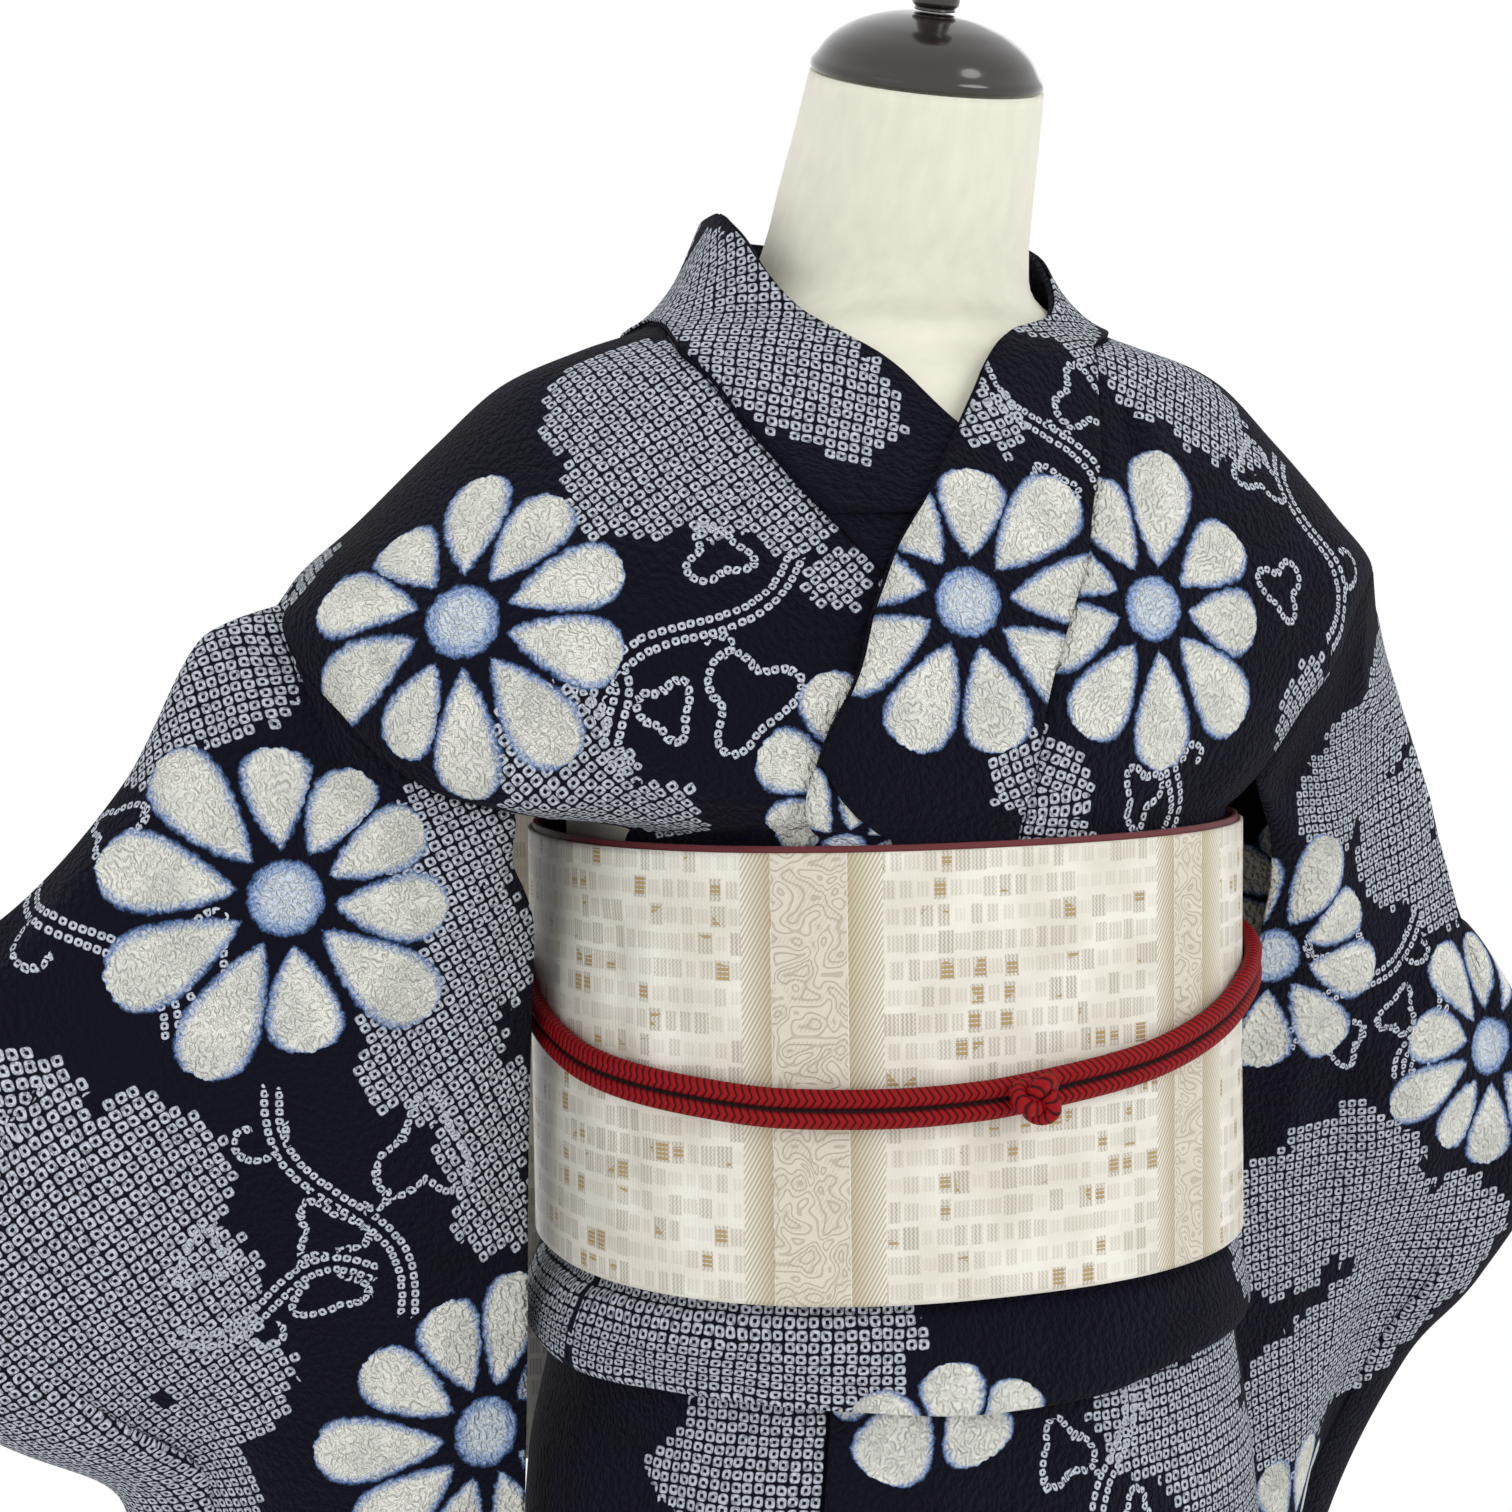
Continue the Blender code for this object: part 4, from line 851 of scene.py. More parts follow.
# Sleeves: rows go down from the top fold, columns go out from the armhole to the cuff
sleeve = dict(
    s=(0.0, 0.25, 0.5, 0.74, 1.0), t=(0.0, 0.12, 0.26, 0.36, 0.52, 0.78, 1.0), sewn=0.26, sewnTo=0.62,
    closedFrom=0.50, curlRadius=0.026, curlTurn=115.0, finer=5)
sleeveRight = dict(
    x=((0.230, 0.260, 0.291, 0.334), (0.215, 0.258, 0.308, 0.371), (0.178, 0.240, 0.302, 0.381),
       (0.152, 0.222, 0.280, 0.308), (0.1525, 0.206, 0.246, 0.260), (0.158, 0.196, 0.228, 0.246),
       (0.162, 0.196, 0.226, 0.244)),
    z=((1.198, 1.187, 1.134, 1.088, 1.062), (1.150, 1.130, 1.087, 1.031, 1.003),
       (1.122, 1.058, 1.018, 0.968, 0.940), (1.075, 1.005, 0.965, 0.915, 0.890),
       (0.965, 0.925, 0.900, 0.868, 0.850), (0.790, 0.772, 0.757, 0.740, 0.725),
       (0.640, 0.628, 0.618, 0.608, 0.598)),
    y=((0.000, 0.000, 0.002, 0.004), (0.000, -0.006, -0.008, 0.000), (0.000, -0.012, -0.014, 0.000),
       (0.000, -0.016, -0.012, 0.008), (0.004, -0.010, 0.000, 0.030), (0.000, -0.002, 0.012, 0.046),
       (0.000, 0.000, 0.016, 0.052)),
    gap=((0.014, 0.014, 0.012, 0.010, 0.010), (0.034, 0.020, 0.014, 0.011, 0.012),
         (0.054, 0.026, 0.015, 0.012, 0.013), (0.030, 0.020, 0.013, 0.010, 0.009),
         (0.018, 0.015, 0.011, 0.009, 0.006), (0.014, 0.012, 0.009, 0.007, 0.005),
         (0.012, 0.011, 0.009, 0.007, 0.005)))
sleeveLeft = dict(
    x=((0.208, 0.222, 0.234, 0.258), (0.156, 0.220, 0.252, 0.286), (0.130, 0.212, 0.256, 0.298),
       (0.152, 0.206, 0.249, 0.276), (0.150, 0.196, 0.230, 0.253), (0.162, 0.188, 0.208, 0.220),
       (0.166, 0.186, 0.204, 0.216)),
    z=((1.198, 1.166, 1.120, 1.062, 1.038), (1.150, 1.120, 1.074, 1.012, 0.984),
       (1.130, 1.055, 1.012, 0.950, 0.922), (1.075, 1.000, 0.955, 0.900, 0.875),
       (0.965, 0.925, 0.895, 0.855, 0.835), (0.790, 0.772, 0.755, 0.735, 0.720),
       (0.640, 0.628, 0.618, 0.606, 0.596)),
    y=((0.000, 0.006, 0.010, 0.012), (0.000, 0.006, 0.014, 0.018), (0.000, 0.010, 0.018, 0.024),
       (0.012, 0.018, 0.026, 0.034), (0.022, 0.030, 0.042, 0.056), (0.026, 0.042, 0.062, 0.086),
       (0.026, 0.044, 0.070, 0.100)),
    gap=((0.066, 0.030, 0.018, 0.011, 0.010), (0.060, 0.024, 0.013, 0.008, 0.010),
         (0.060, 0.026, 0.014, 0.009, 0.012), (0.042, 0.022, 0.013, 0.009, 0.009),
         (0.020, 0.015, 0.011, 0.009, 0.006), (0.014, 0.012, 0.009, 0.007, 0.005),
         (0.012, 0.011, 0.009, 0.007, 0.005)))
sleeveFolds = dict(
    right=((-0.262, 1.165, -0.225, 1.060, 0.014, -0.0030), (-0.205, 1.115, -0.185, 0.960, 0.012, -0.0030),
           (-0.300, 1.100, -0.290, 0.960, 0.020, 0.0035), (-0.190, 1.020, -0.186, 0.860, 0.012, 0.0025),
           (-0.250, 1.000, -0.245, 0.840, 0.018, -0.0030)),
    left=((0.200, 1.130, 0.235, 1.030, 0.012, -0.0025), (0.175, 1.110, 0.180, 0.960, 0.010, 0.0030),
          (0.250, 1.040, 0.255, 0.930, 0.014, 0.0030), (0.205, 1.000, 0.205, 0.860, 0.012, -0.0030)))
sleevePrint = dict(
    right=dict(
        flowers=((-0.238, 1.095, 0.072, 12, 10, -1), (-0.172, 0.893, 0.068, 0, 10, -1),
                 (-0.24, 0.76, 0.060, 30, 9, -1), (-0.24, 1.05, 0.062, 10, 9, 1),
                 (-0.20, 0.84, 0.060, 25, 10, 1), (-0.24, 0.68, 0.055, 25, 9, 1)),
        clouds=((-0.262, 1.178, 0.030, -1), (-0.240, 1.192, 0.016, -1), (-0.282, 1.156, 0.026, -1),
                (-0.183, 1.118, 0.026, -1), (-0.178, 1.075, 0.026, -1), (-0.190, 1.040, 0.028, -1),
                (-0.168, 1.010, 0.024, -1), (-0.166, 0.976, 0.017, -1), (-0.340, 1.004, 0.034, -1),
                (-0.292, 0.998, 0.030, -1), (-0.330, 0.960, 0.040, -1), (-0.284, 0.950, 0.034, -1),
                (-0.263, 0.920, 0.024, -1), (-0.321, 0.901, 0.040, -1), (-0.278, 0.878, 0.038, -1),
                (-0.300, 0.850, 0.038, -1),
                (-0.19, 0.70, 0.034, -1), (-0.30, 1.00, 0.040, 1), (-0.20, 0.96, 0.038, 1),
                (-0.24, 0.92, 0.030, 1), (-0.21, 0.74, 0.040, 1)),
        vines=((-0.222, 0.985, 0.050, 95, 0, -1), (-0.248, 0.955, 0.036, 20, 1, -1),
               (-0.308, 1.085, 0.044, 75, 1, -1), (-0.26, 0.82, 0.040, 50, 0, -1),
               (-0.28, 1.10, 0.046, 60, 0, 1), (-0.25, 0.85, 0.044, 80, 1, 1))),
    left=dict(
        flowers=((0.285, 0.998, 0.066, 10, 10, -1), (0.158, 1.050, 0.066, 20, 9, -1),
                 (0.20, 0.78, 0.060, 0, 9, -1), (0.22, 1.06, 0.062, 0, 10, 1),
                 (0.19, 0.86, 0.060, 20, 9, 1)),
        clouds=((0.190, 1.128, 0.032, -1), (0.175, 1.110, 0.024, -1), (0.222, 1.095, 0.030, -1),
                (0.248, 1.072, 0.022, -1), (0.209, 0.946, 0.036, -1), (0.268, 0.904, 0.036, -1),
                (0.190, 0.930, 0.036, -1), (0.240, 0.870, 0.040, -1), (0.199, 0.847, 0.036, -1),
                (0.236, 0.930, 0.026, -1),
                (0.20, 0.98, 0.038, 1), (0.24, 0.94, 0.032, 1), (0.20, 0.70, 0.036, 1)),
        vines=((0.205, 1.035, 0.044, 35, 0, -1), (0.238, 1.010, 0.030, 60, 2, -1),
               (0.19, 0.70, 0.044, 60, 1, -1), (0.26, 1.02, 0.044, 60, 0, 1),
               (0.21, 0.78, 0.044, 60, 1, 1))))


# Value at s and t from a table whose rows follow t and columns follow s
def net(table, s, t):
    table = np.asarray(table, float)
    keys = sleeve["s"][:table.shape[1]]
    rows = np.array([curve(keys, row, np.minimum(s, keys[-1])) for row in table])
    return np.stack([curve(sleeve["t"], rows[:, k], t) for k in range(len(s))], -1)


# Sleeve: front and back stand off a middle surface by a gap that grows as the root of the
# distance from each fold; past its fourth column the middle turns on an arc towards the back
def sleeveSheets(table, side):
    curlFrom = sleeve["s"][3]
    s = np.concatenate([np.linspace(0.0, curlFrom, 46), np.linspace(curlFrom, 1.0, 24)[1:]])
    cuts = split(bodice["cuts"], sleeve["finer"])
    sewn = cuts[cuts <= sleeve["sewnTo"] + 1e-9] / sleeve["sewnTo"] * sleeve["sewn"]
    lower = np.linspace(sleeve["sewn"], 0.96, 96)[1:]
    last = 0.96 + 0.04 * np.sin(np.linspace(0.0, 0.5 * np.pi, 9))[1:]
    t = np.concatenate([sewn, lower, last])
    curl = np.radians(sleeve["curlTurn"]) * np.clip((s - curlFrom) / (1.0 - curlFrom), 0.0, 1.0)[None, :]
    radius = sleeve["curlRadius"]
    x = (net(table["x"], s, t) + radius * np.sin(curl)) * side
    z = net(table["z"], s, t)
    y = net(table["y"], s, t) + radius * (1.0 - np.cos(curl))
    ends = np.sqrt(np.clip(np.minimum(t / 0.08, (1 - t) / 0.04), 0.0, 1.0))
    gap = net(table["gap"], s, t) * ends[:, None]
    waves = 0.005 * np.sin(7.5 * s[None, :] + 2.0 * t[:, None] + side) * np.clip(t * 2.2, 0, 1)[:, None]
    y = y + waves * np.clip(s * 3.0, 0.0, 1.0)[None, :]
    alongX = np.gradient(x, s, axis=1)
    alongY = np.gradient(y, s, axis=1)
    size = np.hypot(alongX, alongY)
    turn = np.clip((s - 0.15) / 0.35, 0.0, 1.0)[None, :]
    normalX = side * alongY / size * turn
    normalY = -side * alongX / size * turn - (1 - turn)
    front = np.stack([x + gap * normalX, y + gap * normalY, z], -1)
    back = np.stack([x - gap * normalX, y - gap * normalY, z], -1)
    panel = bodiceGrid(side, 12, sleeve["finer"])
    rows = len(sewn)
    top = len(cuts) - 1
    outward = panel[:, -1] - panel[:, -2]
    outward /= np.linalg.norm(outward, axis=1, keepdims=True)
    count = np.abs(np.arange(len(panel)) - top) / sleeve["finer"]
    seam = panel[:, -1] + outward * (0.0007 + 0.0014 * np.interp(count, (4, 8), (0, 1)))[:, None]
    reach = smooth(1 - s / 0.045)[None, :, None]
    moveFront = seam[top - rows + 1:top + 1][::-1] - front[:rows, 0]
    moveBack = seam[top:top + rows] - back[:rows, 0]
    fade = np.ones(len(t))
    fade[rows - 1:] = smooth(1 - (t[rows - 1:] - sleeve["sewn"]) / 0.05)
    moveFront = np.concatenate([moveFront, np.repeat(moveFront[-1:], len(t) - rows, 0)])
    moveBack = np.concatenate([moveBack, np.repeat(moveBack[-1:], len(t) - rows, 0)])
    front = front + moveFront[:, None] * reach * fade[:, None, None]
    back = back + moveBack[:, None] * reach * fade[:, None, None]
    return front, back, t


for label, side, table in (("right", -1, sleeveRight), ("left", 1, sleeveLeft)):
    front, back, t = sleeveSheets(table, side)
    frontOut = 1 if gridNormals(front)[60, 30, 1] < 0 else -1
    backOut = 1 if gridNormals(back)[60, 30, 1] > 0 else -1
    frontCloth = clothMap(front, -12.0 * side)
    backCloth = clothMap(back, 12.0 * side)
    folded = fold(front, sleeveFolds[label], frontOut)
    edges = smooth(np.minimum(t / 0.04, (1 - t) / 0.04))[:, None, None]
    front = front + (folded - front) * edges
    rows, cols = front.shape[:2]
    back[0] = front[0]
    back[-1] = front[-1]
    frontIndex = gridIndex(front)
    backIndex = np.concatenate([frontIndex[:1], rows * cols + np.arange((rows - 2) * cols).reshape(-1, cols),
                                frontIndex[-1:]])
    points = np.concatenate([front.reshape(-1, 3), back[1:-1].reshape(-1, 3)])
    prints = []
    for face in (-1, 1):
        prints.append({key: [motifRow for motifRow in motifRows if motifRow[-1] == face]
                       for key, motifRows in sleevePrint[label].items()})
    frontMaps = printMaps(front, frontCloth, frontOut, **prints[0])
    backMaps = printMaps(back, backCloth, backOut, **prints[1])
    closed = np.flatnonzero(t >= sleeve["closedFrom"])[:-2]
    strip = np.stack([frontIndex[closed, -1], backIndex[closed, -1], backIndex[closed + 1, -1],
                      frontIndex[closed + 1, -1]], -1)
    stripMaps = {}
    for key, value in frontMaps.items():
        stripMaps[key] = np.full((len(strip),) + value.shape[1:], 9.0 if value.ndim == 3 else 0.01)
    edge = frontCloth[:, -1]
    stripMaps["cloth"] = np.stack([edge[closed], edge[closed] + (0.01, 0.0), edge[closed + 1] + (0.01, 0.0),
                                   edge[closed + 1]], 1)
    # the back is wound the other way round from the front, and the strip goes with the front
    frontFaces = quads(frontIndex)
    backFaces = quads(backIndex)
    if frontOut < 0:
        frontFaces, frontMaps = turned(frontFaces, frontMaps)
        strip, stripMaps = turned(strip, stripMaps)
    if backOut < 0:
        backFaces, backMaps = turned(backFaces, backMaps)
    piece = makePiece("robe_sleeve_" + label, points, np.concatenate([frontFaces, backFaces, strip]),
                      cottonPaint, joinMaps(frontMaps, backMaps, stripMaps), 1, layer["cloth"],
                      ["sleeve_" + label])
    declareCloth([front, back])
print("sleeves ready")

# Wrapped panels under the sash, with soft upright folds that grow towards the hem
skirt = dict(top=1.058, hem=0.045, rows=210, step=2.1, folds=0.0075, outer=0.0021)
skirtPanels = dict(
    skirt_right=(-179.7, 26.4, 0), okumi_right=(27.0, 78.0, 0), skirt_left=(-26.4, 179.7, 1),
    okumi_left=(-78.0, -27.0, 1))
skirtFolds = ((-0.128, 0.900, -0.120, 0.700, 0.006, -0.0030), (-0.118, 0.905, -0.104, 0.640, 0.006, -0.0022),
              (-0.035, 0.900, -0.020, 0.500, 0.014, 0.0025), (0.060, 0.880, 0.075, 0.450, 0.014, -0.0030))
skirtPrint = dict(
    skirt_right=dict(
        flowers=((-0.09, 0.70, 0.062, 10, 10, 1), (-0.07, 0.42, 0.060, 0, 9, 1),
                 (-0.04, 0.20, 0.062, 0, 9, 1)),
        clouds=((-0.05, 0.82, 0.045, 1), (-0.09, 0.56, 0.05, 1), (-0.03, 0.55, 0.035, 1),
                (-0.10, 0.28, 0.05, 1), (-0.03, 0.10, 0.05, 1)),
        vines=((-0.10, 0.83, 0.045, 60, 0, 1), (-0.05, 0.30, 0.05, 50, 1, 1))),
    okumi_right=dict(flowers=(), clouds=((0.08, 0.5, 0.05, -1),), vines=()),
    skirt_left=dict(
        flowers=((-0.028, 0.930, 0.060, 20, 7, -1), (0.090, 0.74, 0.062, 0, 10, -1),
                 (0.020, 0.52, 0.062, 20, 9, -1), (0.09, 0.30, 0.062, 10, 10, -1),
                 (0.01, 0.14, 0.060, 0, 9, -1), (0.09, 0.62, 0.062, 0, 9, 1), (0.05, 0.32, 0.060, 0, 10, 1)),
        clouds=((0.055, 0.900, 0.028, -1), (0.088, 0.885, 0.034, -1), (0.112, 0.850, 0.036, -1),
                (0.100, 0.905, 0.026, -1), (0.020, 0.70, 0.045, -1), (0.05, 0.66, 0.035, -1),
                (0.08, 0.45, 0.045, -1), (0.10, 0.18, 0.045, -1), (0.02, 0.36, 0.034, -1),
                (0.06, 0.84, 0.045, 1), (0.10, 0.48, 0.05, 1), (0.04, 0.14, 0.05, 1)),
        vines=((0.035, 0.885, 0.034, 80, 0, -1), (0.03, 0.80, 0.045, 70, 1, -1),
               (0.06, 0.56, 0.045, 60, 0, -1), (0.04, 0.22, 0.045, 60, 1, -1),
               (0.07, 0.73, 0.045, 60, 0, 1), (0.08, 0.22, 0.045, 60, 1, 1))),
    okumi_left=dict(
        flowers=((-0.100, 0.70, 0.062, 10, 10, -1), (-0.075, 0.34, 0.062, 10, 9, -1)),
        clouds=((-0.092, 0.900, 0.030, -1), (-0.075, 0.905, 0.034, -1), (-0.062, 0.885, 0.028, -1),
                (-0.080, 0.870, 0.036, -1), (-0.115, 0.880, 0.018, -1), (-0.070, 0.850, 0.026, -1),
                (-0.08, 0.53, 0.045, -1), (-0.11, 0.48, 0.035, -1), (-0.09, 0.16, 0.045, -1)),
        vines=((-0.120, 0.845, 0.030, 80, 2, -1), (-0.08, 0.60, 0.045, 70, 0, -1),
               (-0.09, 0.25, 0.040, 70, 1, -1))))

heights = np.linspace(skirt["top"], skirt["hem"], skirt["rows"])
for name, (first, last, outer) in skirtPanels.items():
    angles = np.linspace(first, last, int((last - first) / skirt["step"]) + 2)
    ring = ringAt(heights)[:, None] + 0.0 * angles[None, :]
    angle = angles[None, :] + 0.0 * ring
    fall = np.clip((0.93 - heights) / 0.45, 0.0, 1.0)[:, None]
    waves = 0.5 + 0.5 * np.sin(np.radians(angle) * 7.0 + 0.8 * np.sin(np.radians(angle) * 3.0))
    grid = onBody(angle, ring, layer["first"] + skirt["outer"] * outer + skirt["folds"] * waves * fall)
    outward = outwardSign(grid)
    run = runLength(grid[60])
    cloth = np.stack([run[None, :] + 0 * ring, heights[:, None] + 0 * ring], -1)
    if outer:
        grid = fold(grid, skirtFolds, outward)
    piece = cottonSheet(name, grid, cloth, outward, skirtPrint[name], layer["cloth"])
    declareCloth([grid])
print("skirt ready")


# Tuck of the body panels under the sash: down outside, round the lower edge and up inside
tuck = dict(
    edge=((-180, 0.926), (-110, 0.924), (-74, 0.9166), (-50, 0.9178), (-23, 0.9145), (-3, 0.9104),
          (10, 0.9112), (26, 0.9165), (50, 0.9190), (110, 0.924), (180, 0.926)),
    high=((0.972, 0.0041, 0.0), (0.952, 0.0044, 0.0), (0.946, 0.0076, 0.6), (0.935, 0.0100, 1.0)),
    low=((0.0050, 0.0106, 1.0), (0.0010, 0.0096, 0.9), (0.0, 0.0082, 0.8), (0.0012, 0.0068, 0.6),
         (0.0150, 0.0057, 0.0)),
    puff=0.0050, puffAt=-84.0, puffWide=26.0, turns=240, finer=7)
tuckFolds = ((-0.103, 0.933, -0.080, 0.941, 0.0035, -0.0016), (-0.060, 0.935, -0.030, 0.944, 0.005, -0.0012),
             (0.040, 0.925, 0.080, 0.938, 0.006, -0.0012), (0.010, 0.922, 0.012, 0.945, 0.007, -0.0010),
             (-0.132, 0.940, -0.118, 0.915, 0.006, -0.0014))
tuckPrint = dict(
    flowers=((-0.020, 0.888, 0.052, 12, 8, -1), (0.02, 0.93, 0.05, 0, 9, 1)),
    clouds=((-0.150, 0.940, 0.034, -1), (-0.125, 0.930, 0.036, -1), (-0.098, 0.932, 0.036, -1),
            (-0.072, 0.930, 0.030, -1), (-0.056, 0.942, 0.020, -1), (0.118, 0.935, 0.018, -1),
            (-0.06, 0.93, 0.03, 1), (0.08, 0.93, 0.03, 1)),
    vines=((0.062, 0.933, 0.036, 10, 1, -1),))

turns = np.linspace(-180.0, 180.0, tuck["turns"], endpoint=False)
edgeTable = np.array(tuck["edge"])
lowEdge = curve(edgeTable[:, 0], edgeTable[:, 1], turns)
levels = [height + 0.0 * turns for height, _, _ in tuck["high"]]
levels += [lowEdge + above for above, _, _ in tuck["low"]]
lifts = np.array([row[1] for row in tuck["high"] + tuck["low"]])
shares = np.array([row[2] for row in tuck["high"] + tuck["low"]])
levels = spline(np.array(levels), tuck["finer"])
lifts = spline(lifts, tuck["finer"])
shares = spline(shares, tuck["finer"])
puff = tuck["puff"] * np.exp(-((turns - tuck["puffAt"]) / tuck["puffWide"]) ** 2)
grid = onBody(turns[None, :] + 0.0 * levels, ringAt(levels), lifts[:, None] + shares[:, None] * puff[None, :])


# Closed band: cloth runs round by the length of its middle row and down by the length of its columns
def bandCloth(grid, row):
    whole = closeRound(grid)
    u = runLength(whole[row])
    fore = len(u) // 2
    v = -runLength(whole[:, fore])
    return np.stack(np.broadcast_arrays(u[None, :] - u[fore], v[:, None]), -1)


# Faces and points of a band that closes on itself round the body
def bandFaces(grid):
    return quads(closeRound(gridIndex(grid)))


cloth = bandCloth(grid, 20)
outward = outwardSign(grid)
front = fold(grid, tuckFolds, outward)
rowShare = smooth(np.minimum(np.arange(len(grid)) / 14.0, (len(grid) - 1 - np.arange(len(grid))) / 22.0))
grid = grid + (front - grid) * rowShare[:, None, None]
whole = closeRound(grid)
piece = makePiece("robe_ohashori", grid.reshape(-1, 3), bandFaces(grid), cottonPaint,
                  printMaps(whole, cloth, outward, **tuckPrint), outward, layer["skin"], ["ohashori"])
declareCloth([whole])
print("tuck ready")

# Sash: inner turn in dark red that shows along the upper edge, outer turn in ivory brocade
sash = dict(inside=0.0074, outside=0.0093, wall=0.0015, top=1.110, low=0.9535, dip=0.0045, show=0.0022,
            turns=360, rows=64, outerFlat=(0.82, 0.157), innerFlat=(0.81, 0.160),
            bands=((-0.094, -0.085, 0.0), (-0.085, -0.061, 1.0), (-0.061, -0.049, 0.0),
                   (0.057, 0.066, 0.0), (0.066, 0.081, 1.0), (0.081, 0.093, 0.0)))
sashFolds = ((-0.128, 1.085, -0.124, 0.975, 0.0030, -0.0012), (-0.120, 1.095, -0.116, 1.000, 0.0025, 0.0007),
             (-0.112, 1.070, -0.108, 0.965, 0.0030, -0.0006), (0.122, 1.090, 0.119, 0.990, 0.0030, -0.0006),
             (-0.040, 1.075, 0.030, 1.069, 0.0040, -0.0005), (-0.060, 0.990, 0.020, 0.983, 0.0050, 0.0005))


def sashGrid(off, low, high):
    turns = np.linspace(-180.0, 180.0, sash["turns"], endpoint=False)
    dip = sash["dip"] * (0.5 + 0.5 * np.cos(np.radians(turns)))
    bottom = low - dip + sash["dip"] * 0.5
    height = bottom[None, :] + (high - bottom)[None, :] * np.linspace(0.0, 1.0, sash["rows"])[:, None]
    grid = onBody(turns[None, :] + 0.0 * height, np.minimum(ringAt(height), 7.0), off)
    grid[..., 2] = height
    return grid


# Brocade: rows of small grey blocks of upright threads, scattered gold blocks, and bands with a
# slanting weave and curled outlines
brocade = dict(ground=shade(218, 213, 199), bright=shade(234, 230, 219), block=shade(158, 150, 134),
               gold=shade(172, 142, 84), line=shade(150, 134, 98), twill=shade(190, 178, 146),
               scroll=shade(168, 156, 132), scrollGround=shade(212, 205, 190), rough=0.40, sheen=0.05,
               rowHigh=0.0094, blockWide=0.0060, rib=0.0015, notch=0.0016, slant=0.0015)


def sashPaint(name, bands):
    p = Paint(name)
    cloth = p.uv("cloth")
    u, v, _ = p.parts(cloth)
    slow = p.noise(cloth, 40.0, 1.0)
    rib = (u * (2 * np.pi / brocade["rib"]) + v.wave(brocade["notch"]) * 0.9).do("SINE") * 0.5 + 0.5

    # blocks in rows: the width and height of each come from its own chance
    line = v / brocade["rowHigh"]
    row = line.do("FLOOR")
    along = u / brocade["blockWide"] + p.chance(p.vector(row, 3.7)) * 0.4
    place = along.do("FLOOR")
    chance = p.chance(p.vector(place, row))
    other = p.chance(p.vector(row + 9.0, place))
    blockX = abs(along - place - 0.5) - 0.30 - other * 0.18
    blockY = abs(line - row - 0.5) - 0.22 - chance * 0.20
    block = blockX.step(0.05, -0.02) * blockY.step(0.04, -0.02) * (0.25 + chance * 0.75)
    gold = (abs(along - place - 0.5) - 0.26 - other * 0.10).step(0.03, 0.0)
    gold = gold * (abs(line - row - 0.5) - 0.14 - other * 0.20).step(0.03, 0.0)
    rarely = p.noise(p.vector(u, v * 1.4), 42.0, 1.0).do("GREATER_THAN", 0.52)
    gold = gold * chance.do("GREATER_THAN", 0.70) * rarely
    notch = v.wave(brocade["notch"]).step(-0.9, -0.2)

    # bands
    inTwill = 0.0
    inScroll = 0.0
    warm = 0.0
    for k, (first, last, kind) in enumerate(bands):
        inside = (u - first).step(0.0, 0.0003) * (last - u).step(0.0, 0.0003)
        share = (u - first) / (last - first)
        if kind > 0.5:
            inScroll = inside + inScroll
        else:
            inTwill = inside + inTwill
            warm = inside * (share if k % 3 == 0 else 1 - share) + warm
    slant = (u + v * 0.55).wave(brocade["slant"]).step(-0.4, 0.7)
    swirl = p.noise(p.vector(u + (p.noise(cloth, 75.0, 0.0) - 0.5) * 0.012, v), 150.0, 0.0)
    level = swirl * 6.0
    outline = abs(level - level.do("FLOOR") - 0.5).step(0.16, 0.06)
    hatch = slant * swirl.do("GREATER_THAN", 0.5)
    ground = (1 - inTwill - inScroll).do("MAXIMUM", 0.0)

    colour = p.mix(slow.step(0.3, 0.7), brocade["ground"], brocade["bright"])
    colour = p.mix(block * ground * (0.15 + rib * 0.85) * 0.85, colour, brocade["block"])
    colour = p.mix(gold * ground * notch * 0.9, colour, brocade["gold"])
    colour = p.mix(inTwill, colour, p.mix(warm, brocade["bright"], brocade["twill"]))
    colour = p.mix(inTwill * slant * 0.65, colour, brocade["line"])
    colour = p.mix(inScroll, colour, brocade["scrollGround"])
    colour = p.mix(inScroll * hatch * 0.34, colour, brocade["scroll"])
    colour = p.mix(inScroll * outline * 0.62, colour, brocade["scroll"])
    height = rib * 0.30 * ground + block * ground * 0.3 + gold * ground * notch * 0.5
    height = height + inScroll * (outline * -0.6 + 0.4) + inTwill * slant * 0.4
    rough = brocade["rough"] + (slow - 0.5) * 0.1
    return p.finish(**{"Base Color": colour, "Roughness": rough, "Sheen Weight": brocade["sheen"],
                       "Sheen Roughness": 0.4, "Normal": p.bump(height, 0.00030)})


# Plain cloth: a fine square weave as bump, and a slow change of tone
def flatPaint(name, colour, rough, scale, depth, sheen):
    p = Paint(name)
    cloth = p.uv("cloth")
    u, v, _ = p.parts(cloth)
    weave = u.wave(scale) * v.wave(scale)
    slow = p.noise(cloth, 60.0, 2.0)
    tint = p.mix(slow, tuple(c * 0.9 for c in colour), tuple(min(1.0, c * 1.08) for c in colour))
    return p.finish(**{"Base Color": tint, "Roughness": rough + (slow - 0.5) * 0.06,
                       "Sheen Weight": sheen, "Normal": p.bump(weave, depth)})


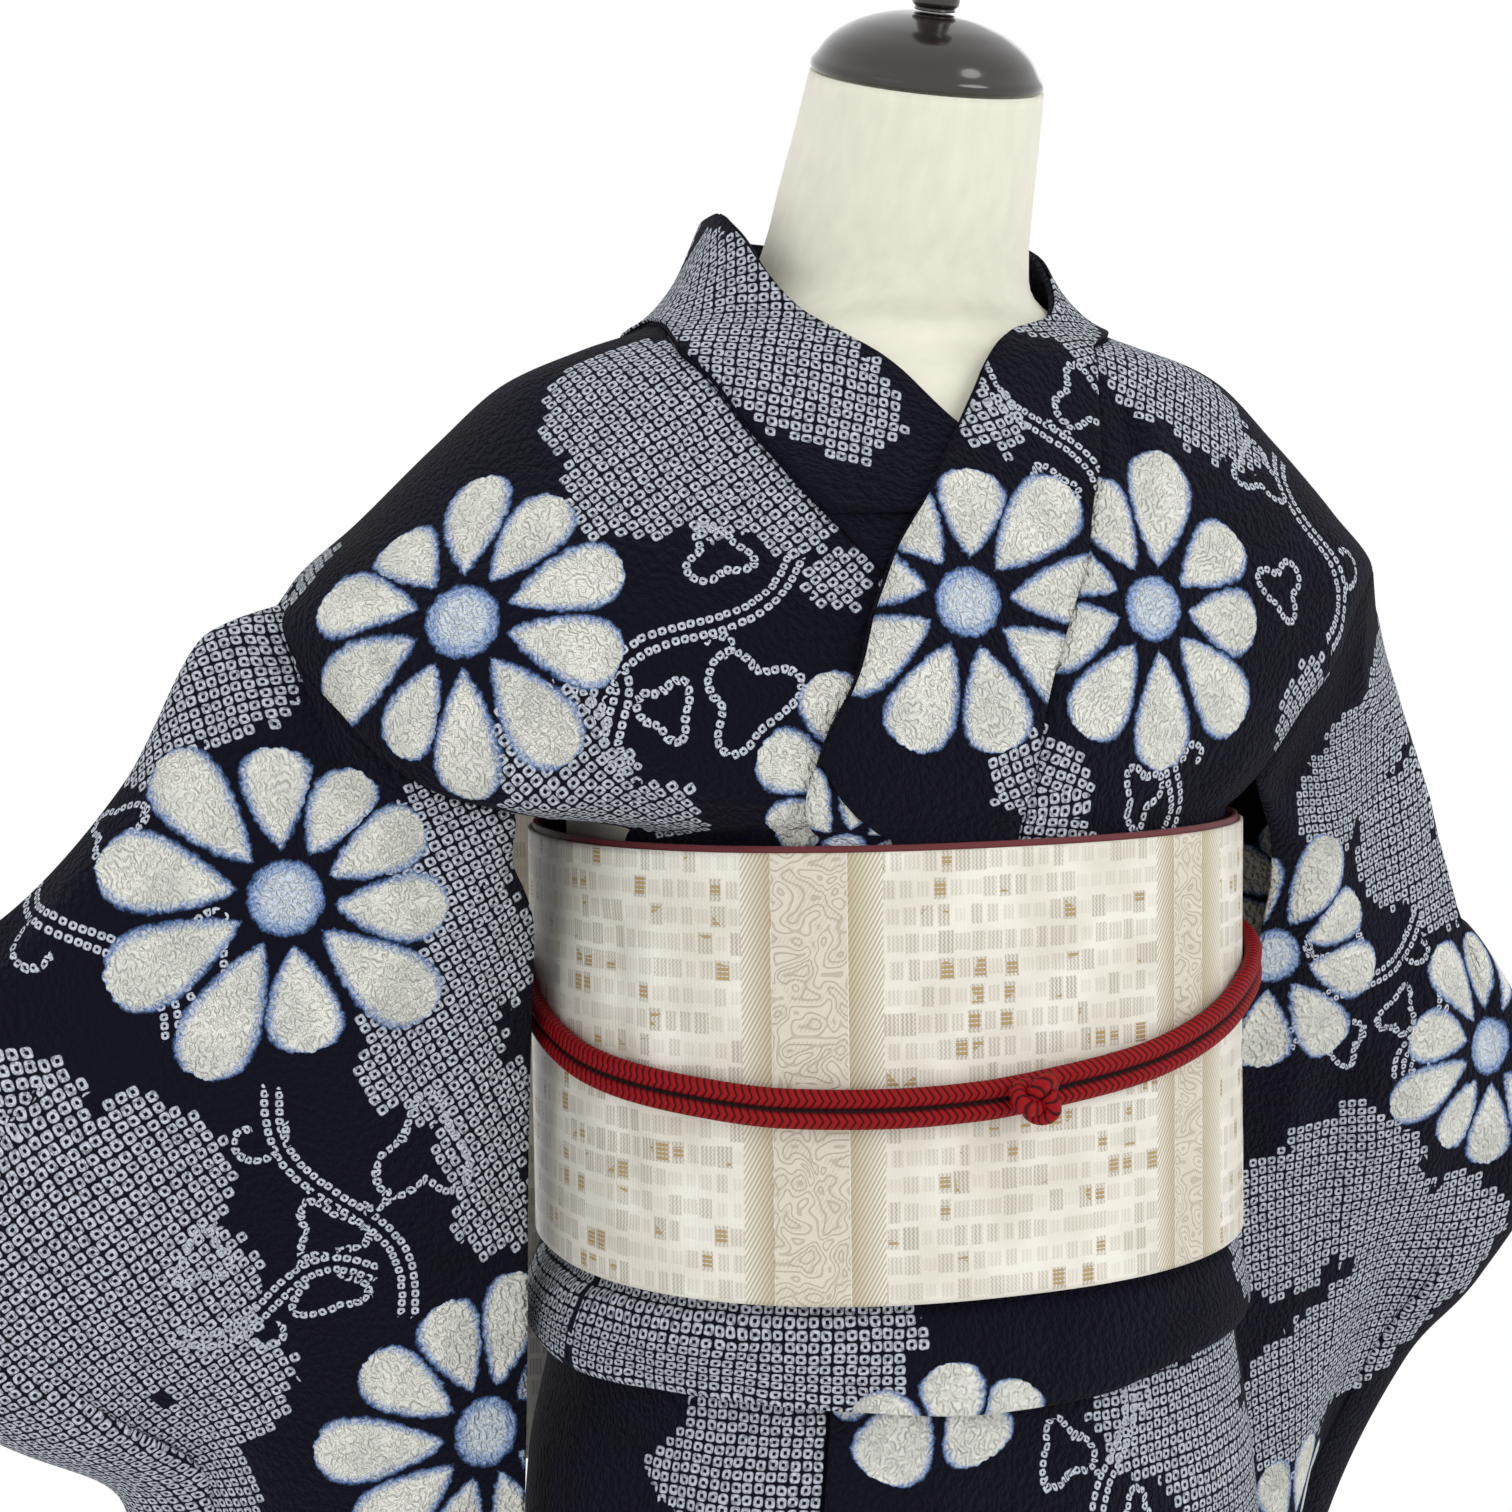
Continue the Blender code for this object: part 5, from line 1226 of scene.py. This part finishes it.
grid = sashGrid(sash["outside"], sash["low"], sash["top"])
outward = outwardSign(grid)
cloth = bandCloth(grid, sash["rows"] // 2)
frontRow = grid[sash["rows"] // 2]
ahead = np.flatnonzero(frontRow[:, 1] < 0)
lengths = cloth[0, ahead, 0]
bands = []
for first, last, kind in sash["bands"]:
    ends = np.interp((first, last), frontRow[ahead, 0], lengths)
    bands.append((float(ends[0]), float(ends[1]), kind))
sashFabric = sashPaint("ivory_brocade", bands)
grid = fold(grid, sashFolds, outward)
piece = makePiece("sash_outer", grid.reshape(-1, 3), bandFaces(grid), sashFabric, dict(cloth=quads(cloth)),
                  outward, sash["wall"], ["obi_outer"])
declareCut(closeRound(grid), sash["outerFlat"])
liningPaint = flatPaint("red_lining", shade(104, 24, 30), 0.5, 0.0007, 0.00006, 0.1)
grid = sashGrid(sash["inside"], sash["low"], sash["top"] + sash["show"])
outward = outwardSign(grid)
cloth = bandCloth(grid, sash["rows"] // 2)
piece = makePiece("sash_inner", grid.reshape(-1, 3), bandFaces(grid), liningPaint, dict(cloth=quads(cloth)),
                  outward, sash["wall"], ["obi_inner"])
declareCut(closeRound(grid), sash["innerFlat"])
print("sash ready")

# Drum bow, its tail and its end strip: profiles of depth and height, straight across
bow = dict(
    obi_drum=(0.138, ((0.1212, 1.078), (0.1212, 1.104), (0.1230, 1.135), (0.1320, 1.152), (0.1460, 1.156),
                      (0.1580, 1.148), (0.1660, 1.120), (0.1710, 1.060), (0.1720, 0.990), (0.1690, 0.930),
                      (0.1620, 0.900), (0.1530, 0.888), (0.1450, 0.892), (0.1410, 0.906), (0.1400, 0.950))),
    obi_tail=(0.130, ((0.1284, 1.040), (0.1294, 0.960), (0.1310, 0.900), (0.1330, 0.860), (0.1360, 0.825))),
    obi_strip=(0.140, ((0.1300, 1.066), (0.1306, 1.020), (0.1311, 0.976))))
for name in ("obi_tail", "obi_strip", "obi_drum"):
    half, profile = bow[name]
    line = spline(np.array(profile), 10)
    run = np.concatenate([[0.0], np.cumsum(np.hypot(*np.diff(line, axis=0).T))])
    wide = np.linspace(-half, half, 46)
    share = run / run[-1]
    deep = 0.0012 if name == "obi_drum" else 0.0
    sag = deep * np.sin(wide * 31.0 + 0.6)[None, :] * smooth(share * (1 - share) * 4)[:, None]
    grid = np.stack(np.broadcast_arrays(wide[None, :], line[:, :1] + sag, line[:, 1:]), -1)
    cloth = np.stack(np.broadcast_arrays(wide[None, :], -run[:, None]), -1)
    piece = makePiece("bow_" + name, grid.reshape(-1, 3), quads(gridIndex(grid)), sashFabric,
                      dict(cloth=quads(cloth)), 1, sash["wall"], [name])
print("bow ready")

# Cord: two braided ribs side by side, round the sash
cord = dict(radius=0.0034, side=0.0036, turns=900, around=48, clear=0.0004, ring=6.5,
            path=((-180, 1.066), (-140, 1.066), (-112, 1.064), (-100, 1.056), (-92, 1.0465), (-83, 1.0385),
                  (-70, 1.031), (-48, 1.025), (-32, 1.022), (-17, 1.0215), (-5, 1.0225), (4, 1.0255),
                  (19, 1.0305), (37, 1.040), (50, 1.049), (70, 1.058), (100, 1.064), (180, 1.066)))
# Braid colours: lit strand red, painted shade for the crevices between strands, painted shade for the groove
# between the two ribs
braid = dict(light=shade(150, 8, 16), creviceShade=shade(58, 3, 8), grooveShade=shade(30, 1, 4), rough=0.6,
             gloss=0.15, strand=0.0027)


# Braid: two families of slanting strands that meet in a V on each rib, with painted shade in the crevices
# between the strands
def braidPaint():
    p = Paint("red_braid")
    u, v, _ = p.parts(p.uv("cloth"))
    wave = (u + abs(v) * 0.6).wave(braid["strand"]) * 0.5 + 0.5
    fine = p.noise(p.uv("cloth"), 2600.0, 1.0)
    # darker where the strand wave is low: painted shade in the crevices between strands
    colour = p.mix(wave.step(0.0, 0.45) * (0.7 + fine * 0.45), braid["creviceShade"], braid["light"])
    # near-black line down the middle between the two ribs: painted shade in the groove
    colour = p.mix((v + cord["side"]).step(0.0016, 0.0004), colour, braid["grooveShade"])
    return p.finish(**{"Base Color": colour, "Roughness": braid["rough"] + (fine - 0.5) * 0.1,
                       "Specular IOR Level": braid["gloss"],
                       "Normal": p.bump(wave ** 0.5 + fine * 0.15, 0.00045)})


braidFabric = braidPaint()


# Ring of two ribs: half circles by sine, each rib's height is the root of one minus the square of
# its distance from the rib's own middle
def cordSection(count):
    turn = np.linspace(0.0, 2 * np.pi, count, endpoint=False)
    up = (cord["side"] + cord["radius"]) * np.cos(turn)
    away = (np.abs(up) - cord["side"] * 0.97) / (cord["radius"] * 1.03)
    ridge = np.sqrt(np.clip(1.0 - away ** 2, 0.0, 1.0))
    ridge = np.where(np.abs(up) > cord["side"], ridge, np.maximum(ridge, 0.36))
    out = cord["radius"] * np.sign(np.sin(turn)) * ridge * (np.abs(np.sin(turn)) > 1e-6)
    return up, out


# Tube round a closed path: up and out place the points of each ring
def tube(path, outward, up, out):
    after = np.roll(path, -1, 0) - np.roll(path, 1, 0)
    after /= np.linalg.norm(after, axis=1, keepdims=True)
    upward = np.cross(outward, after)
    upward /= np.linalg.norm(upward, axis=1, keepdims=True)
    return path[:, None] + upward[:, None] * up[None, :, None] + outward[:, None] * out[None, :, None]


# Closed tube: rows follow the path, columns go round; the cloth map is the path's length and the
# distance round each rib
def tubePiece(name, grid, path, around, replaced):
    index = closeRound(gridIndex(grid))
    index = np.concatenate([index, index[:1]], 0)
    run = runLength(np.concatenate([path, path[:1]]))
    rib = np.concatenate([around, around[:1]])
    cloth = np.stack(np.broadcast_arrays(run[:, None], rib[None, :]), -1)
    faces = quads(index)
    middle = grid.mean(1, keepdims=True)
    sign = 1 if (gridNormals(grid) * (grid - middle)).sum() > 0 else -1
    return makePiece(name, grid.reshape(-1, 3), faces, braidFabric, dict(cloth=quads(cloth)), sign, 0.0,
                     replaced)


turns = np.linspace(-180.0, 180.0, cord["turns"], endpoint=False)
pathTable = np.array(cord["path"])
path = onBody(turns, cord["ring"] + 0.0 * turns,
              sash["outside"] + sash["wall"] + cord["radius"] + cord["clear"])
path[:, 2] = curve(pathTable[:, 0], pathTable[:, 1], turns)
up, out = cordSection(cord["around"])
grid = tube(path, bodyNormal(turns, cord["ring"] + 0.0 * turns), up, out)
tubePiece("cord_round", grid, path, np.abs(up) - cord["side"], ["sash_cord"])

# Knot: a trefoil, with x = sin t + 2 sin 2t, z = cos t - 2 cos 2t and depth = sin 3t
knot = dict(wide=0.00255, high=0.00235, deep=0.0028, radius=0.0030, lift=0.0063, lean=20.0)
centre = onBody(np.array([0.0]), np.array([cord["ring"]]),
                np.array([sash["outside"] + sash["wall"] + 2 * cord["radius"] + knot["lift"]]))[0]
centre[2] = float(curve(pathTable[:, 0], pathTable[:, 1], np.array([0.0]))[0])
turn = np.linspace(0.0, 2 * np.pi, 360, endpoint=False)
lean = np.radians(knot["lean"])
x = knot["wide"] * (np.sin(turn) + 2 * np.sin(2 * turn))
z = knot["high"] * (np.cos(turn) - 2 * np.cos(2 * turn))
path = np.stack([x * np.cos(lean) - z * np.sin(lean), knot["deep"] * np.sin(3 * turn),
                 x * np.sin(lean) + z * np.cos(lean)], -1) + centre
ring = np.linspace(0.0, 2 * np.pi, 28, endpoint=False)
after = np.roll(path, -1, 0) - np.roll(path, 1, 0)
after /= np.linalg.norm(after, axis=1, keepdims=True)
depth = np.array([0.0, -1.0, 0.0]) - after * -after[:, 1:2]
depth /= np.linalg.norm(depth, axis=1, keepdims=True)
grid = tube(path, depth, knot["radius"] * np.cos(ring), knot["radius"] * np.sin(ring))
tubePiece("cord_knot", grid, path, knot["radius"] * np.abs(np.sin(ring)), ["sash_knot"])
print("cord ready")

# Dress form: smooth torso and neck in cream cotton, glossy cap, finial, pole and base
form = dict(
    torso=np.array([
        (0.740, 0.1200, 0.0950, 0.0980), (0.760, 0.1310, 0.1060, 0.1100), (0.800, 0.1345, 0.1100, 0.1140),
        (0.860, 0.1330, 0.1120, 0.1140), (0.910, 0.1282, 0.1092, 0.1102), (0.955, 0.1247, 0.1077, 0.1077),
        (1.070, 0.1247, 0.1077, 0.1077), (1.100, 0.1249, 0.1077, 0.1077), (1.130, 0.1275, 0.1075, 0.1070),
        (1.158, 0.1410, 0.1060, 0.1050), (1.187, 0.1560, 0.1020, 0.1020), (1.204, 0.1640, 0.0985, 0.0990),
        (1.226, 0.1620, 0.0930, 0.0930), (1.254, 0.1540, 0.0800, 0.0860), (1.277, 0.1310, 0.0680, 0.0760),
        (1.289, 0.0990, 0.0610, 0.0640), (1.298, 0.0760, 0.0572, 0.0545)]),
    neck=np.array([
        (1.312, -0.0050, 0.0560, 0.10), (1.328, -0.0135, 0.0502, 0.22), (1.346, -0.0225, 0.0476, 0.32),
        (1.368, -0.0345, 0.0450, 0.34), (1.3865, -0.0440, 0.0430, 0.34)]),
    turns=128, cream=shade(243, 240, 222))
turn = np.linspace(-np.pi, np.pi, form["turns"], endpoint=False)
sine, cosine = np.sin(turn), np.cos(turn)
power = 2.0 / body["power"]
rings = []
for height, half, ahead, behind in form["torso"]:
    x = half * np.sign(sine) * np.abs(sine) ** power
    y = -np.where(cosine > 0, ahead, behind) * np.sign(cosine) * np.abs(cosine) ** power
    rings.append(np.stack([x, y, np.full_like(x, height)], -1))
for height, depth, radius, tilt in form["neck"]:
    y = depth - radius * cosine
    rings.append(np.stack([radius * sine, y, height + tilt * (y - depth)], -1))
grid = spline(np.array(rings), 4)
creamPaint = flatPaint("cream_cotton", form["cream"], 0.75, 0.0008, 0.00005, 0.15)


# Quads across a ring of an even number of points, that close it flat
def lid(ring, flip):
    half = len(ring) // 2
    near = ring[:half]
    far = ring[::-1][:half]
    order = (near[:-1], near[1:], far[1:], far[:-1])
    made = np.stack(order, -1)
    return made[:, ::-1] if flip else made


# Closed solid from rings, lowest first: quads between the rings, and a flat lid on both ends
def ringPiece(name, grid, material, replaced):
    index = gridIndex(grid)
    whole = closeRound(index)
    count = grid.shape[1]
    away = np.concatenate([[0.0], np.cumsum(np.linalg.norm(np.diff(grid, axis=0), axis=2).max(1))])
    girth = float(np.linalg.norm(np.diff(grid[len(grid) // 2], axis=0), axis=1).sum())
    cloth = np.stack(np.broadcast_arrays(np.linspace(0.0, girth, count + 1)[None, :], away[:, None]), -1)
    faces = np.concatenate([quads(whole), lid(index[0], True), lid(index[-1], False)])
    points = grid.reshape(-1, 3)
    flat = np.concatenate([quads(cloth), points[faces[-2 * (count // 2 - 1):]][..., :2]])
    sign = 1 if (gridNormals(grid) * (grid - grid.mean(1, keepdims=True))).sum() > 0 else -1
    return makePiece(name, points, faces, material, dict(cloth=flat), sign, 0.0, replaced)


ringPiece("form_body", grid, creamPaint, ["form_torso"])

# Turned parts: radius and height pairs, leant back with the neck
turnedParts = dict(
    form_cap=(0.34, ((0.0405, 0.0003), (0.0420, 0.0004), (0.0430, 0.0013), (0.0433, 0.0030),
                     (0.0429, 0.0044), (0.0412, 0.0068), (0.0385, 0.0110), (0.0353, 0.0143),
                     (0.0315, 0.0170), (0.0268, 0.0196), (0.0215, 0.0216), (0.0165, 0.0230),
                     (0.0120, 0.0238), (0.0060, 0.0244), (0.0010, 0.0245))),
    form_finial=(0.34, ((0.0010, 0.0250), (0.0072, 0.0250), (0.0074, 0.0262), (0.0086, 0.0275),
                        (0.0088, 0.0300), (0.0078, 0.0315), (0.0080, 0.0420), (0.0086, 0.0520),
                        (0.0110, 0.0600), (0.0145, 0.0670), (0.0158, 0.0740), (0.0150, 0.0800),
                        (0.0115, 0.0850), (0.0060, 0.0885), (0.0010, 0.0893))),
    form_pole=(0.0, ((0.0285, 0.0183), (0.0285, 0.0300), (0.0240, 0.0350), (0.0170, 0.0390),
                     (0.0150, 0.0450), (0.0150, 0.3900), (0.0150, 0.7397))),
    form_base=(0.0, ((0.1600, 0.0), (0.1630, 0.0), (0.1645, 0.0010), (0.1650, 0.0030), (0.1650, 0.0090),
                     (0.1635, 0.0120), (0.1590, 0.0150), (0.1510, 0.0180), (0.0300, 0.0180))))
gloss = dict(colour=shade(24, 18, 15), rough=0.16, grain=0.02)


def lacquer():
    p = Paint("black_gloss")
    place = p.node("ShaderNodeTexCoord").outputs["Object"]
    slow = p.noise(place, 40.0, 2.0)
    fine = p.noise(place, 700.0, 1.0)
    colour = p.mix(slow, gloss["colour"], tuple(c * 1.6 for c in gloss["colour"]))
    return p.finish(**{"Base Color": colour, "Roughness": gloss["rough"] + fine * gloss["grain"],
                       "Coat Weight": 0.6, "Coat Roughness": 0.05, "Specular IOR Level": 0.5,
                       "Normal": p.bump(slow, 0.0002)})


glossPaint = lacquer()
for name, (lean, profile) in turnedParts.items():
    line = spline(np.array(profile), 5)
    turn = np.linspace(0.0, 2 * np.pi, 96, endpoint=False)
    x = line[:, :1] * np.cos(turn)
    y = line[:, :1] * np.sin(turn)
    z = line[:, 1:] + 0.0 * x
    tilt = np.arctan(lean)
    foot = form["neck"][-1] if lean else (0.0, 0.0)
    grid = np.stack([x, y * np.cos(tilt) - z * np.sin(tilt) + foot[1],
                     y * np.sin(tilt) + z * np.cos(tilt) + foot[0]], -1)
    ringPiece("stand_" + name[5:], grid, glossPaint, [name])
print("form ready")

# Floor, world, lights and camera
floorMesh = bpy.data.meshes.new("floor")
edge = studio["floor"]
floorCorners = [(-edge, -edge, 0), (edge, -edge, 0), (edge, edge, 0), (-edge, edge, 0)]
floorMesh.from_pydata(floorCorners, [], [(0, 1, 2, 3)])
floor = bpy.data.objects.new("floor", floorMesh)
bpy.context.scene.collection.objects.link(floor)
floorPaint = Paint("studio_floor")
floorTint = floorPaint.noise(floorPaint.node("ShaderNodeTexCoord").outputs["Object"], 6.0)
floorMesh.materials.append(floorPaint.finish(**{
    "Base Color": floorPaint.mix(floorTint, shade(250, 250, 250), shade(255, 255, 255)), "Roughness": 0.9}))

world = bpy.data.worlds.new("studio")
world.use_nodes = True
world.node_tree.nodes["Background"].inputs["Color"].default_value = (1.0, 1.0, 1.0, 1.0)
world.node_tree.nodes["Background"].inputs["Strength"].default_value = studio["world"]
bpy.context.scene.world = world
bpy.context.scene.view_settings.view_transform = "Standard"
bpy.context.scene.view_settings.exposure = studio["exposure"]

for name, row in lights.items():
    lamp = bpy.data.lights.new(name, "AREA")
    lamp.shape = "DISK"
    lamp.size = row["size"]
    lamp.energy = row["power"]
    stand = bpy.data.objects.new(name, lamp)
    stand.location = row["place"]
    aim = Vector(row["aim"]) - Vector(row["place"])
    stand.rotation_euler = aim.to_track_quat("-Z", "Y").to_euler()
    bpy.context.scene.collection.objects.link(stand)

camera = bpy.data.objects.new("camera", bpy.data.cameras.new("camera"))
bpy.context.scene.collection.objects.link(camera)
forward = Vector(view["forward"]).normalized()
level = np.radians(view["level"])
right = Vector((np.cos(level), np.sin(level), 0.0))
up = right.cross(forward)
roll = np.radians(view["roll"])
sideways = right * np.cos(roll) + up * np.sin(roll)
upwards = up * np.cos(roll) - right * np.sin(roll)
turnMatrix = Matrix((sideways, upwards, -forward)).transposed()
camera.matrix_world = Matrix.Translation(view["place"]) @ turnMatrix.to_4x4()
camera.data.sensor_width = view["sensor"]
camera.data.lens = view["lens"]
camera.data.clip_start = view["near"]
bpy.context.scene.camera = camera
